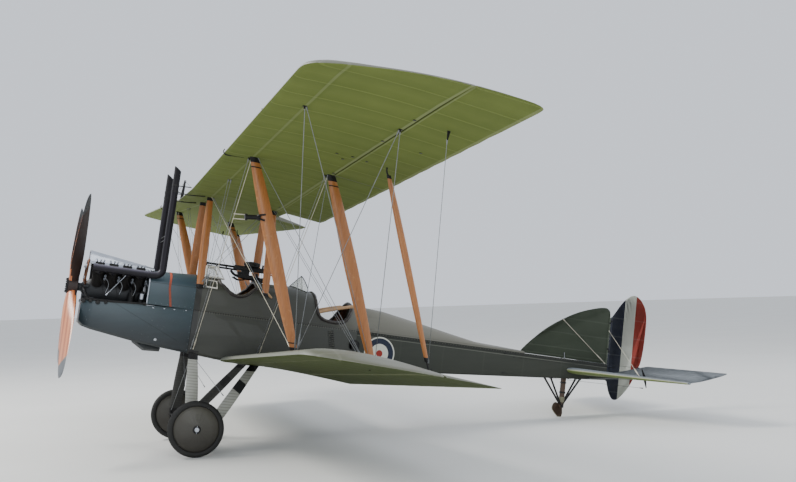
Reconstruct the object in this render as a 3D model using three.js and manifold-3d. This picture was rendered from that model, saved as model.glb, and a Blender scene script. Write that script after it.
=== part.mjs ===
// A two-seat single-bay biplane with long upper wings, parked on its wheels and tail skid.
// Millimetres. Airframe axes: x to port, y aft, z up, the thrust line level, and the origin on
// the centre line just above the lower wings' leading edge. The whole airframe is then pitched
// nose up and lifted, so that the wheels and the skid stand on z = 0.
import * as THREE from "three";
import { mergeVertices } from "three/addons/utils/BufferGeometryUtils.js";
import Module from "manifold-3d";

const wasm = await Module();
wasm.setup();

// Driving dimensions of the whole aeroplane
const PARKED_PITCH = 9.16; // degrees, nose up
const LENGTH_CENTRE = 2293; // y of the middle of the parked length, before the frame is centred
const FIT_GAP = 0.4; // between pieces that touch

// Body
const BODY_HALF = 360;
const WALL = 12;
const SKIN = 10;
const FIREWALL_Y = -385;
const BAY_REAR_Y = -955;
const NOSE_Y = -1685;
const COCKPIT_END_Y = 1735;
const STERN_Y = 5718;
const LONGERON_Z = 490;
const THRUST_Z = 598;
const PROPELLER_Y = -1797;
const PROPELLER_RADIUS = 1425;
const HUB = { radius: 118, halfDepth: 55 };
const HUB_CLEARANCE = 7; // between the engine's nose and the turning hub

// Wings: leading edge on the centre line, half width without dihedral, and two angles in degrees
const CHORD = 1700;
const CENTRE_HALF = 600; // half width of the flat centre section
const UPPER = { y: -642, z: 1896, flat: CENTRE_HALF, dihedral: 3.24, incidence: 3.45 };
const LOWER = { y: 20, z: -92, flat: BODY_HALF, dihedral: 3.5, incidence: 3.6 };
const FRONT_SPAR = 275; // struts' places aft of the leading edge
const REAR_SPAR = 1092;
const INTERPLANE_X = 2800;
const HINGE_SPAR = 1150; // aileron hinge aft of the leading edge
const HINGE_HEIGHT = 52; // over the chord line
const AILERON_NOSE = 33;
const AILERON_SLOT = 8;
const AILERON_ROOT_SLOT = 14; // at the inner end, whose face isn't square to the hinge
const AILERON_ROOT_X = 2830;
const LINK_X = 3720;
const LINK_CHORDWISE = 1380;
const CUTOUT_HALF = 363; // notch in the centre section's trailing edge
const CUTOUT_FRONT = 1240;

// Undercarriage and tail
const WHEEL = { x: 884, y: -237, z: -878, radius: 325, tyre: 64, tyreHalfWidth: 38 };
const AXLE_RADIUS = 25;
const AXLE_HALF = 962;
const ELEVATOR_HINGE = { y: 5690, z: 322 };
const ELEVATOR_UP = 21; // degrees up as parked
const RUDDER_HINGE_Y = 5742;
const SKID_FOOT_Y = 5018;

const rad = THREE.MathUtils.degToRad;
const pitch = rad(PARKED_PITCH);
const LIFT = WHEEL.radius - WHEEL.z * Math.cos(pitch) + WHEEL.y * Math.sin(pitch);

const finishes = {
  metalCowl: { color: 0x4f6269, roughness: 0.45, metalness: 0.3 },
  aluminium: { color: 0xb9bdc2, roughness: 0.3, metalness: 0.9 },
  blackIron: { color: 0x1c1c1e, roughness: 0.55, metalness: 0.5 },
  doped: { color: 0x454a3c, roughness: 0.7, metalness: 0 },
  deck: { color: 0x4a4f45, roughness: 0.65, metalness: 0 },
  wing: { color: 0x6b7448, roughness: 0.7, metalness: 0 },
  spruce: { color: 0xa65f2c, roughness: 0.35, metalness: 0 },
  steelWire: { color: 0x8d9092, roughness: 0.35, metalness: 0.9 },
  legs: { color: 0x8a8d88, roughness: 0.7, metalness: 0 },
  rubber: { color: 0x1a1a1a, roughness: 0.8, metalness: 0 },
  wheelCover: { color: 0x4a4c40, roughness: 0.7, metalness: 0 },
  leather: { color: 0x8a5a34, roughness: 0.6, metalness: 0 },
  celluloid: { color: 0xd8e2e0, roughness: 0.1, metalness: 0 },
  rudderPaint: { color: 0xd9dccf, roughness: 0.6, metalness: 0 },
};

const airframe = new THREE.Group();
const object = new THREE.Group();

// Adds a finished geometry to the aeroplane as a named piece
function piece(name, geometry, finish) {
  const mesh = new THREE.Mesh(geometry, new THREE.MeshStandardMaterial(finishes[finish]));
  mesh.name = name;
  airframe.add(mesh);
}

// Geometry to solid, for cutting and joining
function solid(geometry) {
  const bare = geometry.clone();
  bare.deleteAttribute("normal");
  bare.deleteAttribute("uv");
  const merged = mergeVertices(bare, 1e-3);
  const vertProperties = Float32Array.from(merged.attributes.position.array);
  const triVerts = Uint32Array.from(merged.index.array);
  return new wasm.Manifold(new wasm.Mesh({ numProp: 3, vertProperties, triVerts }));
}

// Solid back to geometry
function shape(body) {
  const mesh = body.getMesh();
  const geometry = new THREE.BufferGeometry();
  geometry.setAttribute("position", new THREE.BufferAttribute(mesh.vertProperties, 3));
  geometry.setIndex(new THREE.BufferAttribute(mesh.triVerts, 1));
  geometry.computeVertexNormals();
  return geometry;
}

function join(...geometries) {
  return shape(geometries.map(solid).reduce((all, next) => all.add(next)));
}

function cut(geometry, ...cutters) {
  return shape(cutters.map(solid).reduce((rest, cutter) => rest.subtract(cutter), solid(geometry)));
}

function common(first, second) {
  return shape(solid(first).intersect(solid(second)));
}

function point(x, y, z) {
  return new THREE.Vector3(x, y, z);
}

// Closed body through rings of equal length, whose flat ends are filled
function loft(rings) {
  const count = rings[0].length;
  const positions = rings.flat().flatMap((v) => [v.x, v.y, v.z]);
  const index = [];
  for (let r = 0; r + 1 < rings.length; r++) {
    for (let i = 0; i < count; i++) {
      const a = r * count + i;
      const b = r * count + ((i + 1) % count);
      index.push(a, b, b + count, a, b + count, a + count);
    }
  }
  const flat = flatten(rings[0]);
  const triangles = THREE.ShapeUtils.triangulateShape(flat, []);
  const last = (rings.length - 1) * count;
  for (const [a, b, c] of triangles) {
    index.push(a, c, b);
    index.push(last + a, last + b, last + c);
  }
  const geometry = new THREE.BufferGeometry();
  geometry.setAttribute("position", new THREE.Float32BufferAttribute(positions, 3));
  geometry.setIndex(index);
  return outward(geometry);
}

// A flat ring in its own plane, counter-clockwise round the ring's normal
function flatten(ring) {
  const normal = point(0, 0, 0);
  ring.forEach((v, i) => {
    const next = ring[(i + 1) % ring.length];
    normal.add(point(0, 0, 0).crossVectors(v, next));
  });
  normal.normalize();
  const right = point(0, 0, 0).subVectors(ring[1], ring[0]).normalize();
  right.addScaledVector(normal, -right.dot(normal)).normalize();
  const up = point(0, 0, 0).crossVectors(normal, right);
  return ring.map((v) => new THREE.Vector2(v.dot(right), v.dot(up)));
}

// Turns a closed mesh's faces out where its volume comes out negative
function outward(geometry) {
  const p = geometry.attributes.position;
  const index = geometry.index.array;
  let volume = 0;
  for (let i = 0; i < index.length; i += 3) {
    const [a, b, c] = [0, 1, 2].map((k) => point(0, 0, 0).fromBufferAttribute(p, index[i + k]));
    volume += a.dot(b.clone().cross(c));
  }
  if (volume < 0) {
    for (let i = 0; i < index.length; i += 3) {
      [index[i], index[i + 1]] = [index[i + 1], index[i]];
    }
  }
  geometry.computeVertexNormals();
  return geometry;
}

// Box between two corners
function box(low, high) {
  const size = point(...high).sub(point(...low));
  const middle = point(...high).add(point(...low)).multiplyScalar(0.5);
  const geometry = new THREE.BoxGeometry(size.x, size.y, size.z);
  return geometry.translate(middle.x, middle.y, middle.z);
}

// Round bar between two points
function bar(from, to, radius, sides = 8) {
  const start = point(...from);
  const run = point(...to).sub(start);
  const geometry = new THREE.CylinderGeometry(radius, radius, run.length(), sides);
  geometry.translate(0, run.length() / 2, 0);
  const turn = new THREE.Quaternion().setFromUnitVectors(point(0, 1, 0), run.clone().normalize());
  geometry.applyQuaternion(turn);
  return geometry.translate(start.x, start.y, start.z);
}

// Prism of a polygon in the y-z plane, from x = low to x = high
function sidePrism(outline, low, high) {
  const ring = (x) => outline.map(([y, z]) => point(x, y, z));
  return loft([ring(low), ring(high)]);
}

function mirrored(geometry) {
  const copy = geometry.clone();
  copy.scale(-1, 1, 1);
  const index = copy.index ?? mergeVertices(copy).index;
  copy.setIndex(index);
  return outward(copy);
}

// Wing sections: the aerofoil's upper and under side as fractions of the chord.
const AEROFOIL = [
  // [aft, top, under]
  [0, 0.012, 0.008],
  [0.012, 0.031, 0.001],
  [0.05, 0.051, 0.0],
  [0.13, 0.068, 0.006],
  [0.3, 0.077, 0.015],
  [0.5, 0.07, 0.018],
  [0.75, 0.043, 0.011],
  [1, 0.004, 0.0],
];

// A point of a wing: span, aft along the chord and up from the chord line
function onWing(wing, x, aft, up) {
  const tilt = rad(wing.incidence);
  const rise = Math.max(0, Math.abs(x) - wing.flat) * Math.tan(rad(wing.dihedral));
  const y = wing.y + aft * Math.cos(tilt) + up * Math.sin(tilt);
  const z = wing.z - aft * Math.sin(tilt) + up * Math.cos(tilt) + rise;
  return point(x, y, z);
}

// Places a geometry that was made with x = span, y = aft and z = up on a wing
function fitToWing(wing, geometry) {
  const p = geometry.attributes.position;
  for (let i = 0; i < p.count; i++) {
    const v = onWing(wing, p.getX(i), p.getY(i), p.getZ(i));
    p.setXYZ(i, v.x, v.y, v.z);
  }
  geometry.computeVertexNormals();
  return geometry;
}

function aerofoilRing(x, front, rear) {
  const chord = rear - front;
  const top = AEROFOIL.map(([aft, up]) => point(x, front + aft * chord, up * chord));
  const under = AEROFOIL.map(([aft, , up]) => point(x, front + aft * chord, up * chord));
  return [...top, ...under.reverse()];
}

function wingBlank(stations) {
  return loft(stations.map(([x, front, rear]) => aerofoilRing(x, front, rear)));
}

// Wing plan from the root out, with raked, rounded tips.
const UPPER_PLAN = [
  // [span, leading edge, trailing edge]
  [CENTRE_HALF + FIT_GAP, 0, CHORD],
  [5560, 0, CHORD],
  [5680, 12, CHORD],
  [5780, 70, CHORD],
  [5900, 220, CHORD],
  [6060, 520, CHORD],
  [6150, 760, 1690],
  [6205, 1010, 1630],
];
const LOWER_PLAN = [
  [BODY_HALF + FIT_GAP, 0, CHORD],
  [4060, 0, CHORD],
  [4180, 12, CHORD],
  [4280, 70, CHORD],
  [4400, 220, CHORD],
  [4560, 520, CHORD],
  [4650, 760, 1690],
  [4705, 1010, 1630],
];

// The aileron's share of a wing: everything behind its hinge, with a round nose
const BEYOND = { rear: 2000, low: -200, high: 250, tip: 7000 }; // clear of every wing
const NOSE_STEPS = 6;
function aileronRegion(grow, rootX) {
  const nose = AILERON_NOSE + grow;
  const outline = [
    [BEYOND.rear, BEYOND.low],
    [BEYOND.rear, BEYOND.high],
    [HINGE_SPAR, BEYOND.high],
  ];
  for (let i = 0; i <= NOSE_STEPS; i++) {
    const angle = Math.PI / 2 + (i * Math.PI) / NOSE_STEPS;
    outline.push([HINGE_SPAR + nose * Math.cos(angle), HINGE_HEIGHT + nose * Math.sin(angle)]);
  }
  outline.push([HINGE_SPAR, BEYOND.low]);
  return sidePrism(outline, rootX, BEYOND.tip);
}

// One wing and its aileron, port side first and then mirrored
for (const [level, wing, plan] of [["upper", UPPER, UPPER_PLAN], ["lower", LOWER, LOWER_PLAN]]) {
  const blank = wingBlank(plan);
  // The thin tip lies under the hinge, so the slot there runs straight down
  const tipSlot = box(
    [plan[1][0], HINGE_SPAR - AILERON_NOSE - AILERON_SLOT, BEYOND.low],
    [BEYOND.tip, BEYOND.rear, HINGE_HEIGHT],
  );
  const innerEnd = AILERON_ROOT_X - AILERON_ROOT_SLOT;
  const panel = cut(blank, aileronRegion(AILERON_SLOT, innerEnd), tipSlot);
  const aileron = common(blank, aileronRegion(0, AILERON_ROOT_X));
  fitToWing(wing, panel);
  fitToWing(wing, aileron);
  piece(`${level}_wing_port`, panel, "wing");
  piece(`${level}_wing_starboard`, mirrored(panel), "wing");
  piece(`${level}_aileron_port`, aileron, "wing");
  piece(`${level}_aileron_starboard`, mirrored(aileron), "wing");
}

// Flat centre section over the cockpits, notched behind
const centreBlank = wingBlank([[-CENTRE_HALF, 0, CHORD], [CENTRE_HALF, 0, CHORD]]);
const notch = box(
  [-CUTOUT_HALF, CUTOUT_FRONT, BEYOND.low],
  [CUTOUT_HALF, BEYOND.rear, BEYOND.high],
);
piece("centre_section", fitToWing(UPPER, cut(centreBlank, notch)), "wing");

// Wings up to past the struts, moved by the fitting gap, that the struts are trimmed against
const CUTTER_HALF_SPAN = 4000;
function wingCutter(wing, lift) {
  const rings = [-CUTTER_HALF_SPAN, -wing.flat, wing.flat, CUTTER_HALF_SPAN].map((x) => [x, 0, CHORD]);
  return fitToWing(wing, wingBlank(rings)).translate(0, 0, lift);
}
const underUpper = wingCutter(UPPER, -FIT_GAP);
const overUpper = wingCutter(UPPER, FIT_GAP);
const overLower = wingCutter(LOWER, FIT_GAP);

// Streamlined strut between two points
const STRUT_SECTION = [
  // [share of half chord fore and aft, share of half thickness]
  [-1, 0],
  [-0.72, 0.72],
  [-0.3, 1],
  [0.3, 0.82],
  [0.75, 0.38],
  [1, 0],
  [0.75, -0.38],
  [0.3, -0.82],
  [-0.3, -1],
  [-0.72, -0.72],
];

function strut(from, to, stations) {
  const start = point(...from);
  const run = point(...to).sub(start);
  const rings = stations.map(([share, chord, thickness]) => {
    const centre = start.clone().addScaledVector(run, share);
    return STRUT_SECTION.map(([fore, side]) =>
      point(centre.x + (side * thickness) / 2, centre.y + (fore * chord) / 2, centre.z),
    );
  });
  return loft(rings);
}

// Stations of the struts from their lower ends up
const INTERPLANE_SHAPE = [
  // [share of the run, chord, thickness]
  [0, 94, 38],
  [0.12, 124, 44],
  [0.45, 150, 48],
  [0.6, 150, 48],
  [0.88, 122, 44],
  [1, 88, 34],
];
const CABANE_SHAPE = [
  [0, 84, 34],
  [0.2, 108, 40],
  [0.6, 112, 42],
  [1, 78, 34],
];
const LINK_SHAPE = [
  [0, 34, 22],
  [0.3, 66, 30],
  [0.6, 76, 32],
  [0.85, 62, 28],
  [1, 30, 22],
];
const KINGPOST_SHAPE = [
  [0, 52, 30],
  [0.5, 60, 32],
  [1, 34, 24],
];
const LEG_SHAPE = [
  [0, 110, 40],
  [0.5, 146, 46],
  [0.88, 140, 46],
  [1, 116, 44],
];
// Heights over a wing's chord line at which a strut starts or ends inside the wing
const IN_UNDERSIDE = 35;
const IN_TOP = 80;
const SPARS = [
  // [name, aft of the leading edge, how far aft of it the strut's foot stands]
  ["front", FRONT_SPAR, 20],
  ["rear", REAR_SPAR, 42],
];

for (const side of [1, -1]) {
  const hand = side > 0 ? "port" : "starboard";
  for (const [place, spar, footAft] of SPARS) {
    const low = onWing(LOWER, side * INTERPLANE_X, spar + footAft, IN_TOP);
    const high = onWing(UPPER, side * INTERPLANE_X, spar, IN_UNDERSIDE);
    const raw = strut(low.toArray(), high.toArray(), INTERPLANE_SHAPE);
    piece(`interplane_${place}_${hand}`, cut(raw, underUpper, overLower), "spruce");
  }
}

// Body sections: the hull's half width, bottom and the decking's crown, from nose to stern
const HULL = [
  // [y, half width, bottom]
  [NOSE_Y, 292, 178],
  [-1640, 318, 138],
  [-1540, 338, 112],
  [-1250, 358, 64],
  [BAY_REAR_Y, BODY_HALF, 16],
  [FIREWALL_Y, BODY_HALF, -42],
  [320, BODY_HALF, -110],
  [1000, BODY_HALF, -78],
  [COCKPIT_END_Y, BODY_HALF, -22],
  [3900, 182, 113],
  [STERN_Y, 30, 238],
];
const STERN_TOP = 470;
const CHAMFER = 26; // of the hull's lower corners

function between(table, y, column) {
  const found = table.findIndex(([station]) => station >= y);
  const next = found < 0 ? table.length - 1 : Math.max(1, found);
  const [low, high] = [table[next - 1], table[next]];
  return low[column] + ((high[column] - low[column]) * (y - low[0])) / (high[0] - low[0]);
}

// Square-cornered hull ring, drawn in by an inset, up to a given height
function hullRing(y, inset, top) {
  const half = between(HULL, y, 1) - inset;
  const low = between(HULL, y, 2) + inset;
  const chamfer = Math.min(CHAMFER, half / 3);
  return [
    point(half, y, top),
    point(half, y, low + chamfer),
    point(half - chamfer, y, low),
    point(-half + chamfer, y, low),
    point(-half, y, low + chamfer),
    point(-half, y, top),
  ];
}

function hull(stations, inset, top) {
  return loft(stations.map((y) => hullRing(y, inset, top(y))));
}

// Nose tray: the metal under-cowl from the airscrew to the firewall, open on top
const RAIL_FRONT_Z = 452; // height of the tray's edge at the nose
const OPEN_TOP = 900; // clear above every open hull
const trayStations = HULL.map(([y]) => y).filter((y) => y <= FIREWALL_Y);
const railTop = (y) => THREE.MathUtils.mapLinear(y, NOSE_Y, FIREWALL_Y, RAIL_FRONT_Z, LONGERON_Z);
const trayOuter = hull(trayStations, 0, railTop);
const bayStations = [NOSE_Y + 2.5 * SKIN, ...trayStations.slice(2, -1), FIREWALL_Y - SKIN];
piece("nose_tray", cut(trayOuter, hull(bayStations, SKIN, () => OPEN_TOP)), "metalCowl");

// Decking ring: straight sides from the longeron, then an arch over the top
const ARCH_STEPS = 10;
function deckRing(y, half, low, shoulder, crown, inset) {
  const arch = [point(half - inset, y, low)];
  for (let i = 0; i <= 2 * ARCH_STEPS; i++) {
    const angle = (i * Math.PI) / (2 * ARCH_STEPS);
    const x = (half - inset) * Math.cos(angle);
    const z = shoulder + (crown - inset - shoulder) * Math.sin(angle);
    arch.push(point(x, y, z));
  }
  arch.push(point(-half + inset, y, low));
  return arch;
}
const DECK = [
  // [y, half width, shoulder, crown]
  [BAY_REAR_Y, 356, 740, 905],
  [FIREWALL_Y, BODY_HALF, 760, 935],
  [0, BODY_HALF, 740, 922],
  [600, BODY_HALF, 740, 944],
  [880, BODY_HALF, 740, 955],
  [1160, BODY_HALF, 680, 905],
  [COCKPIT_END_Y, 346, 520, 822],
  [2150, 320, 520, 792],
  [2770, 264, 506, 688],
  [3060, 240, 503, 634],
  [3540, 200, 499, 550],
  [4290, 138, 494, 510],
];

function decking(stations, low, inset = 0) {
  const rings = stations.map((y) =>
    deckRing(y, between(DECK, y, 1), low, between(DECK, y, 2), between(DECK, y, 3), inset),
  );
  return loft(rings);
}

const deckLow = LONGERON_Z + FIT_GAP;
const DECK_ROOT = 300; // deep inside the body, below every decking
const PAST = 40; // how far a cutter runs past an open end
const noseTopInner = decking([BAY_REAR_Y + SKIN, FIREWALL_Y + PAST], DECK_ROOT, SKIN);
const noseTopOuter = decking([BAY_REAR_Y, FIREWALL_Y - FIT_GAP], deckLow);
piece("nose_top", cut(noseTopOuter, noseTopInner), "metalCowl");

// Cockpit tub: floor and side walls of the two cockpits, with the front bulkhead
const tubMiddle = HULL.map(([y]) => y).filter((y) => y > FIREWALL_Y && y < COCKPIT_END_Y);
const tubOuter = hull([FIREWALL_Y + FIT_GAP, ...tubMiddle, COCKPIT_END_Y], 0, () => LONGERON_Z);
const tubInner = hull(
  [FIREWALL_Y + FIT_GAP + WALL, ...tubMiddle, COCKPIT_END_Y - WALL],
  WALL,
  () => OPEN_TOP,
);
piece("cockpit_tub", cut(tubOuter, tubInner), "doped");

// Decking over the cockpits, with the two cut-outs
const deckMiddle = DECK.map(([y]) => y).filter((y) => y > FIREWALL_Y && y < COCKPIT_END_Y);
const outerDeck = decking([FIREWALL_Y + FIT_GAP, ...deckMiddle, COCKPIT_END_Y], deckLow);
const innerDeck = decking(
  [FIREWALL_Y - PAST, ...deckMiddle, COCKPIT_END_Y + PAST],
  DECK_ROOT,
  SKIN,
);
const FRONT_CUT = [
  // [y, z]
  [-110, 1200],
  [-96, 890],
  [-40, 820],
  [40, 752],
  [140, 722],
  [240, 752],
  [320, 820],
  [372, 890],
  [392, 1200],
];
const REAR_CUT = [
  [1150, 1200],
  [1142, 850],
  [1160, 700],
  [1205, 612],
  [1290, 566],
  [1450, 556],
  [1560, 596],
  [1625, 700],
  [1680, 860],
  [1690, 1200],
];
const ACROSS = 500; // half width past the whole body
const RIM_POINTS = 32;
// Cutter with a smooth edge through the points of a cut-out's outline
function cutOut(outline) {
  const curve = new THREE.SplineCurve(outline.map(([y, z]) => new THREE.Vector2(y, z)));
  const edge = curve.getPoints(RIM_POINTS).map((v) => [v.x, v.y]);
  return sidePrism(edge, -ACROSS, ACROSS);
}
const deckShell = cut(outerDeck, innerDeck, cutOut(FRONT_CUT), cutOut(REAR_CUT));
piece("cockpit_decking", deckShell, "deck");

// Rear body: fabric-covered box girder, tapering to the sternpost, bored for the elevator tube
const rearSections = HULL.map(([y]) => y).filter((y) => y > COCKPIT_END_Y);
const rearTop = (y) => THREE.MathUtils.mapLinear(y, COCKPIT_END_Y, STERN_Y, LONGERON_Z, STERN_TOP);
const TUBE = { radius: 11, bore: 19 };
const tubeBore = bar(
  [-ACROSS, ELEVATOR_HINGE.y, ELEVATOR_HINGE.z],
  [ACROSS, ELEVATOR_HINGE.y, ELEVATOR_HINGE.z],
  TUBE.bore,
  12,
);
const rearHull = hull([COCKPIT_END_Y + FIT_GAP, ...rearSections], 0, rearTop);
piece("rear_fuselage", cut(rearHull, tubeBore), "doped");
const rearDeckSections = DECK.map(([y]) => y).filter((y) => y > COCKPIT_END_Y);
const rearDeckBlank = decking([COCKPIT_END_Y + FIT_GAP, ...rearDeckSections], DECK_ROOT);
const rearClear = hull(
  [COCKPIT_END_Y - PAST, ...rearSections],
  -ACROSS,
  (y) => rearTop(y) + FIT_GAP,
);
piece("rear_decking", cut(rearDeckBlank, rearClear), "deck");

// Blister under the engine sump
const BLISTER = [
  // [y, half width, bottom]
  [-1020, 60, 10],
  [-880, 110, -75],
  [-680, 90, -66],
];
const BLISTER_TOP = 60;
const BLISTER_CORNER = 30;
const blister = loft(
  BLISTER.map(([y, half, low]) => [
    point(half, y, BLISTER_TOP),
    point(half, y, low + BLISTER_CORNER),
    point(half / 2, y, low),
    point(-half / 2, y, low),
    point(-half, y, low + BLISTER_CORNER),
    point(-half, y, BLISTER_TOP),
  ]),
);
const trayClear = hull(trayStations, -FIT_GAP, () => OPEN_TOP);
piece("sump_blister", cut(blister, trayClear), "metalCowl");

// Engine: crankcase with eight air-cooled cylinders in a vee, and its nose
const CYLINDER = { first: -1560, pitch: 165, radius: 62, tilt: 45, start: 120, end: 412, rootZ: 545 };
const CYLINDERS_A_SIDE = 4;
const CRANKCASE = [
  // [y, half width, bottom, top]
  [-1652, 120, 470, 690],
  [-1600, 150, 452, 712],
  [-985, 150, 452, 712],
];
const CASE_FLAT = 0.6; // share of the crankcase's width that is flat above and below
const SHAFT = { radius: 58, rearY: -1600, frontY: PROPELLER_Y + HUB.halfDepth + HUB_CLEARANCE };
const crankcase = loft(
  CRANKCASE.map(([y, half, low, high]) => [
    point(half, y, (low + high) / 2),
    point(half * CASE_FLAT, y, low),
    point(-half * CASE_FLAT, y, low),
    point(-half, y, (low + high) / 2),
    point(-half * CASE_FLAT, y, high),
    point(half * CASE_FLAT, y, high),
  ]),
);
const shaft = bar([0, SHAFT.rearY, THRUST_Z], [0, SHAFT.frontY, THRUST_Z], SHAFT.radius, 12);
const cylinders = [1, -1].flatMap((side) =>
  Array.from({ length: CYLINDERS_A_SIDE }, (_, i) => {
    const tilt = rad(CYLINDER.tilt);
    const at = (reach) => [
      side * reach * Math.sin(tilt),
      CYLINDER.first + i * CYLINDER.pitch,
      CYLINDER.rootZ + reach * Math.cos(tilt),
    ];
    return bar(at(CYLINDER.start), at(CYLINDER.end), CYLINDER.radius, 12);
  }),
);
piece("engine", join(crankcase, shaft, ...cylinders), "blackIron");

// Air scoop between the cylinder banks: a rising trunk, open at the front
const SCOOP_OUTSIDE = [
  // [y, half width, bottom, top]
  [-1650, 178, 918, 1050],
  [-868, 158, 906, 934],
];
const SCOOP_INSIDE = [
  [-1700, 168, 924, 1048],
  [-1100, 154, 914, 952],
];
const SCOOP_CORNER = { drop: 22, wide: 0.94, narrow: 0.6 };
function scoopBody(stations) {
  return loft(
    stations.map(([y, half, low, high]) => [
      point(half, y, low),
      point(half * SCOOP_CORNER.wide, y, high - SCOOP_CORNER.drop),
      point(half * SCOOP_CORNER.narrow, y, high),
      point(-half * SCOOP_CORNER.narrow, y, high),
      point(-half * SCOOP_CORNER.wide, y, high - SCOOP_CORNER.drop),
      point(-half, y, low),
    ]),
  );
}
const noseTopClear = decking([BAY_REAR_Y - FIT_GAP, FIREWALL_Y], DECK_ROOT, -FIT_GAP);
const scoop = cut(scoopBody(SCOOP_OUTSIDE), scoopBody(SCOOP_INSIDE), noseTopClear);
piece("air_scoop", scoop, "aluminium");

// Exhausts: a pipe along each bank, bent up into a tall stack with a slanted mouth
const EXHAUST = { x: 372, z: 838, radius: 42, frontY: -1610, stackY: -812, top: 2230, bend: 92 };
const PIPE_SIDES = 12;
const BEND_STEPS = 4;
const PIPE_WALL = 5;
const STACK_BORE_DEPTH = 330;
const MOUTH_CUT = [
  // [y, z], everything above the slanted mouth
  [-1000, 2300],
  [-600, 2005],
  [-600, 2400],
  [-1000, 2400],
];
function pipeRing(x, y, z, slope) {
  return Array.from({ length: PIPE_SIDES }, (_, i) => {
    const angle = (2 * Math.PI * i) / PIPE_SIDES;
    const across = EXHAUST.radius * Math.cos(angle);
    const up = EXHAUST.radius * Math.sin(angle);
    return point(x + across, y - up * Math.sin(slope), z + up * Math.cos(slope));
  });
}
for (const side of [1, -1]) {
  const x = side * EXHAUST.x;
  const rings = [pipeRing(x, EXHAUST.frontY, EXHAUST.z, 0)];
  for (let i = 0; i <= BEND_STEPS; i++) {
    const slope = (i * Math.PI) / (2 * BEND_STEPS);
    const y = EXHAUST.stackY - EXHAUST.bend * (1 - Math.sin(slope));
    rings.push(pipeRing(x, y, EXHAUST.z + EXHAUST.bend * (1 - Math.cos(slope)), slope));
  }
  rings.push(pipeRing(x, EXHAUST.stackY, EXHAUST.top, Math.PI / 2));
  const slant = sidePrism(MOUTH_CUT, x - 2 * EXHAUST.radius, x + 2 * EXHAUST.radius);
  const bore = bar(
    [x, EXHAUST.stackY, EXHAUST.top - STACK_BORE_DEPTH],
    [x, EXHAUST.stackY, EXHAUST.top + PAST],
    EXHAUST.radius - PIPE_WALL,
    PIPE_SIDES,
  );
  const name = side > 0 ? "exhaust_port" : "exhaust_starboard";
  piece(name, cut(loft(rings), slant, bore), "blackIron");
}

// Seats: a pan with a raked back
const SEAT_HALF = 200;
const SEAT_SIDE = [
  // [aft of the pan's front edge, z]
  [0, 190],
  [0, 250],
  [320, 230],
  [350, 560],
  [385, 560],
  [360, 180],
];
for (const [name, frontY] of [["seat_front", -10], ["seat_rear", 1235]]) {
  const outline = SEAT_SIDE.map(([aft, z]) => [frontY + aft, z]);
  piece(name, sidePrism(outline, -SEAT_HALF, SEAT_HALF), "leather");
}

// Celluloid windscreen of the rear cockpit, standing on the decking, narrower at its top
const SCREEN = { y: 985, rake: 25, thickness: 4, half: 150, halfTop: 70, low: 850, high: 1112 };
const screenRing = (z, half, lean) => [
  point(-half, SCREEN.y + lean, z),
  point(half, SCREEN.y + lean, z),
  point(half, SCREEN.y + lean + SCREEN.thickness, z),
  point(-half, SCREEN.y + lean + SCREEN.thickness, z),
];
const screenBlank = loft([
  screenRing(SCREEN.low, SCREEN.half, 0),
  screenRing(SCREEN.high, SCREEN.halfTop, SCREEN.rake),
]);
const cockpitDeckClear = decking([FIREWALL_Y, ...deckMiddle], DECK_ROOT, -FIT_GAP);
piece("windscreen", cut(screenBlank, cockpitDeckClear), "celluloid");

// Observer's gun, pinned in a socket on the decking behind the front cockpit
const GUN = { z: 1105, muzzleY: -330, rearY: 620, socketY: 425 };
const gun = join(
  bar([0, GUN.muzzleY, GUN.z], [0, 150, GUN.z], 26, 10),
  box([-32, 120, GUN.z - 55], [32, 430, GUN.z + 34]),
  box([-14, 420, GUN.z - 30], [14, GUN.rearY, GUN.z + 22]),
  bar([0, 270, GUN.z + 20], [0, 270, GUN.z + 88], 96, 16),
  bar([0, 250, GUN.z - 40], [0, GUN.socketY, 965], 20, 8),
  bar([0, GUN.socketY, 920], [0, GUN.socketY, 1010], 34, 10),
);
piece("gun", cut(gun, cockpitDeckClear), "blackIron");

// Cabane struts from the body sides up to the centre section
const CABANE = { lowX: 384, highX: 285, lowZ: 762, rake: 12 };
const cabaneClear = decking([BAY_REAR_Y, FIREWALL_Y, ...deckMiddle], DECK_ROOT, -FIT_GAP);
for (const side of [1, -1]) {
  const hand = side > 0 ? "port" : "starboard";
  for (const [place, spar] of SPARS) {
    const high = onWing(UPPER, side * CABANE.highX, spar, IN_UNDERSIDE);
    const low = [side * CABANE.lowX, high.y + CABANE.rake, CABANE.lowZ];
    const raw = strut(low, high.toArray(), CABANE_SHAPE);
    piece(`cabane_${place}_${hand}`, cut(raw, underUpper, cabaneClear), "spruce");
  }
}

// Kingposts over the upper wing, at the interplane struts
const KINGPOST_TOP = 520; // over the chord line
for (const side of [1, -1]) {
  const hand = side > 0 ? "port" : "starboard";
  for (const [place, spar] of SPARS) {
    const low = onWing(UPPER, side * INTERPLANE_X, spar, IN_TOP);
    const high = onWing(UPPER, side * INTERPLANE_X, spar, KINGPOST_TOP);
    const raw = strut(low.toArray(), high.toArray(), KINGPOST_SHAPE);
    piece(`kingpost_${place}_${hand}`, cut(raw, overUpper), "spruce");
  }
}

// Struts that tie each lower aileron to the upper one, hung from the upper aileron
const LINK = { high: -10, low: 78 }; // heights over the two chord lines
for (const side of [1, -1]) {
  const hand = side > 0 ? "port" : "starboard";
  const high = onWing(UPPER, side * LINK_X, LINK_CHORDWISE, LINK.high);
  const low = onWing(LOWER, side * LINK_X, LINK_CHORDWISE, LINK.low);
  const name = `aileron_link_${hand}`;
  piece(name, strut(low.toArray(), high.toArray(), LINK_SHAPE), "spruce");
}

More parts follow.
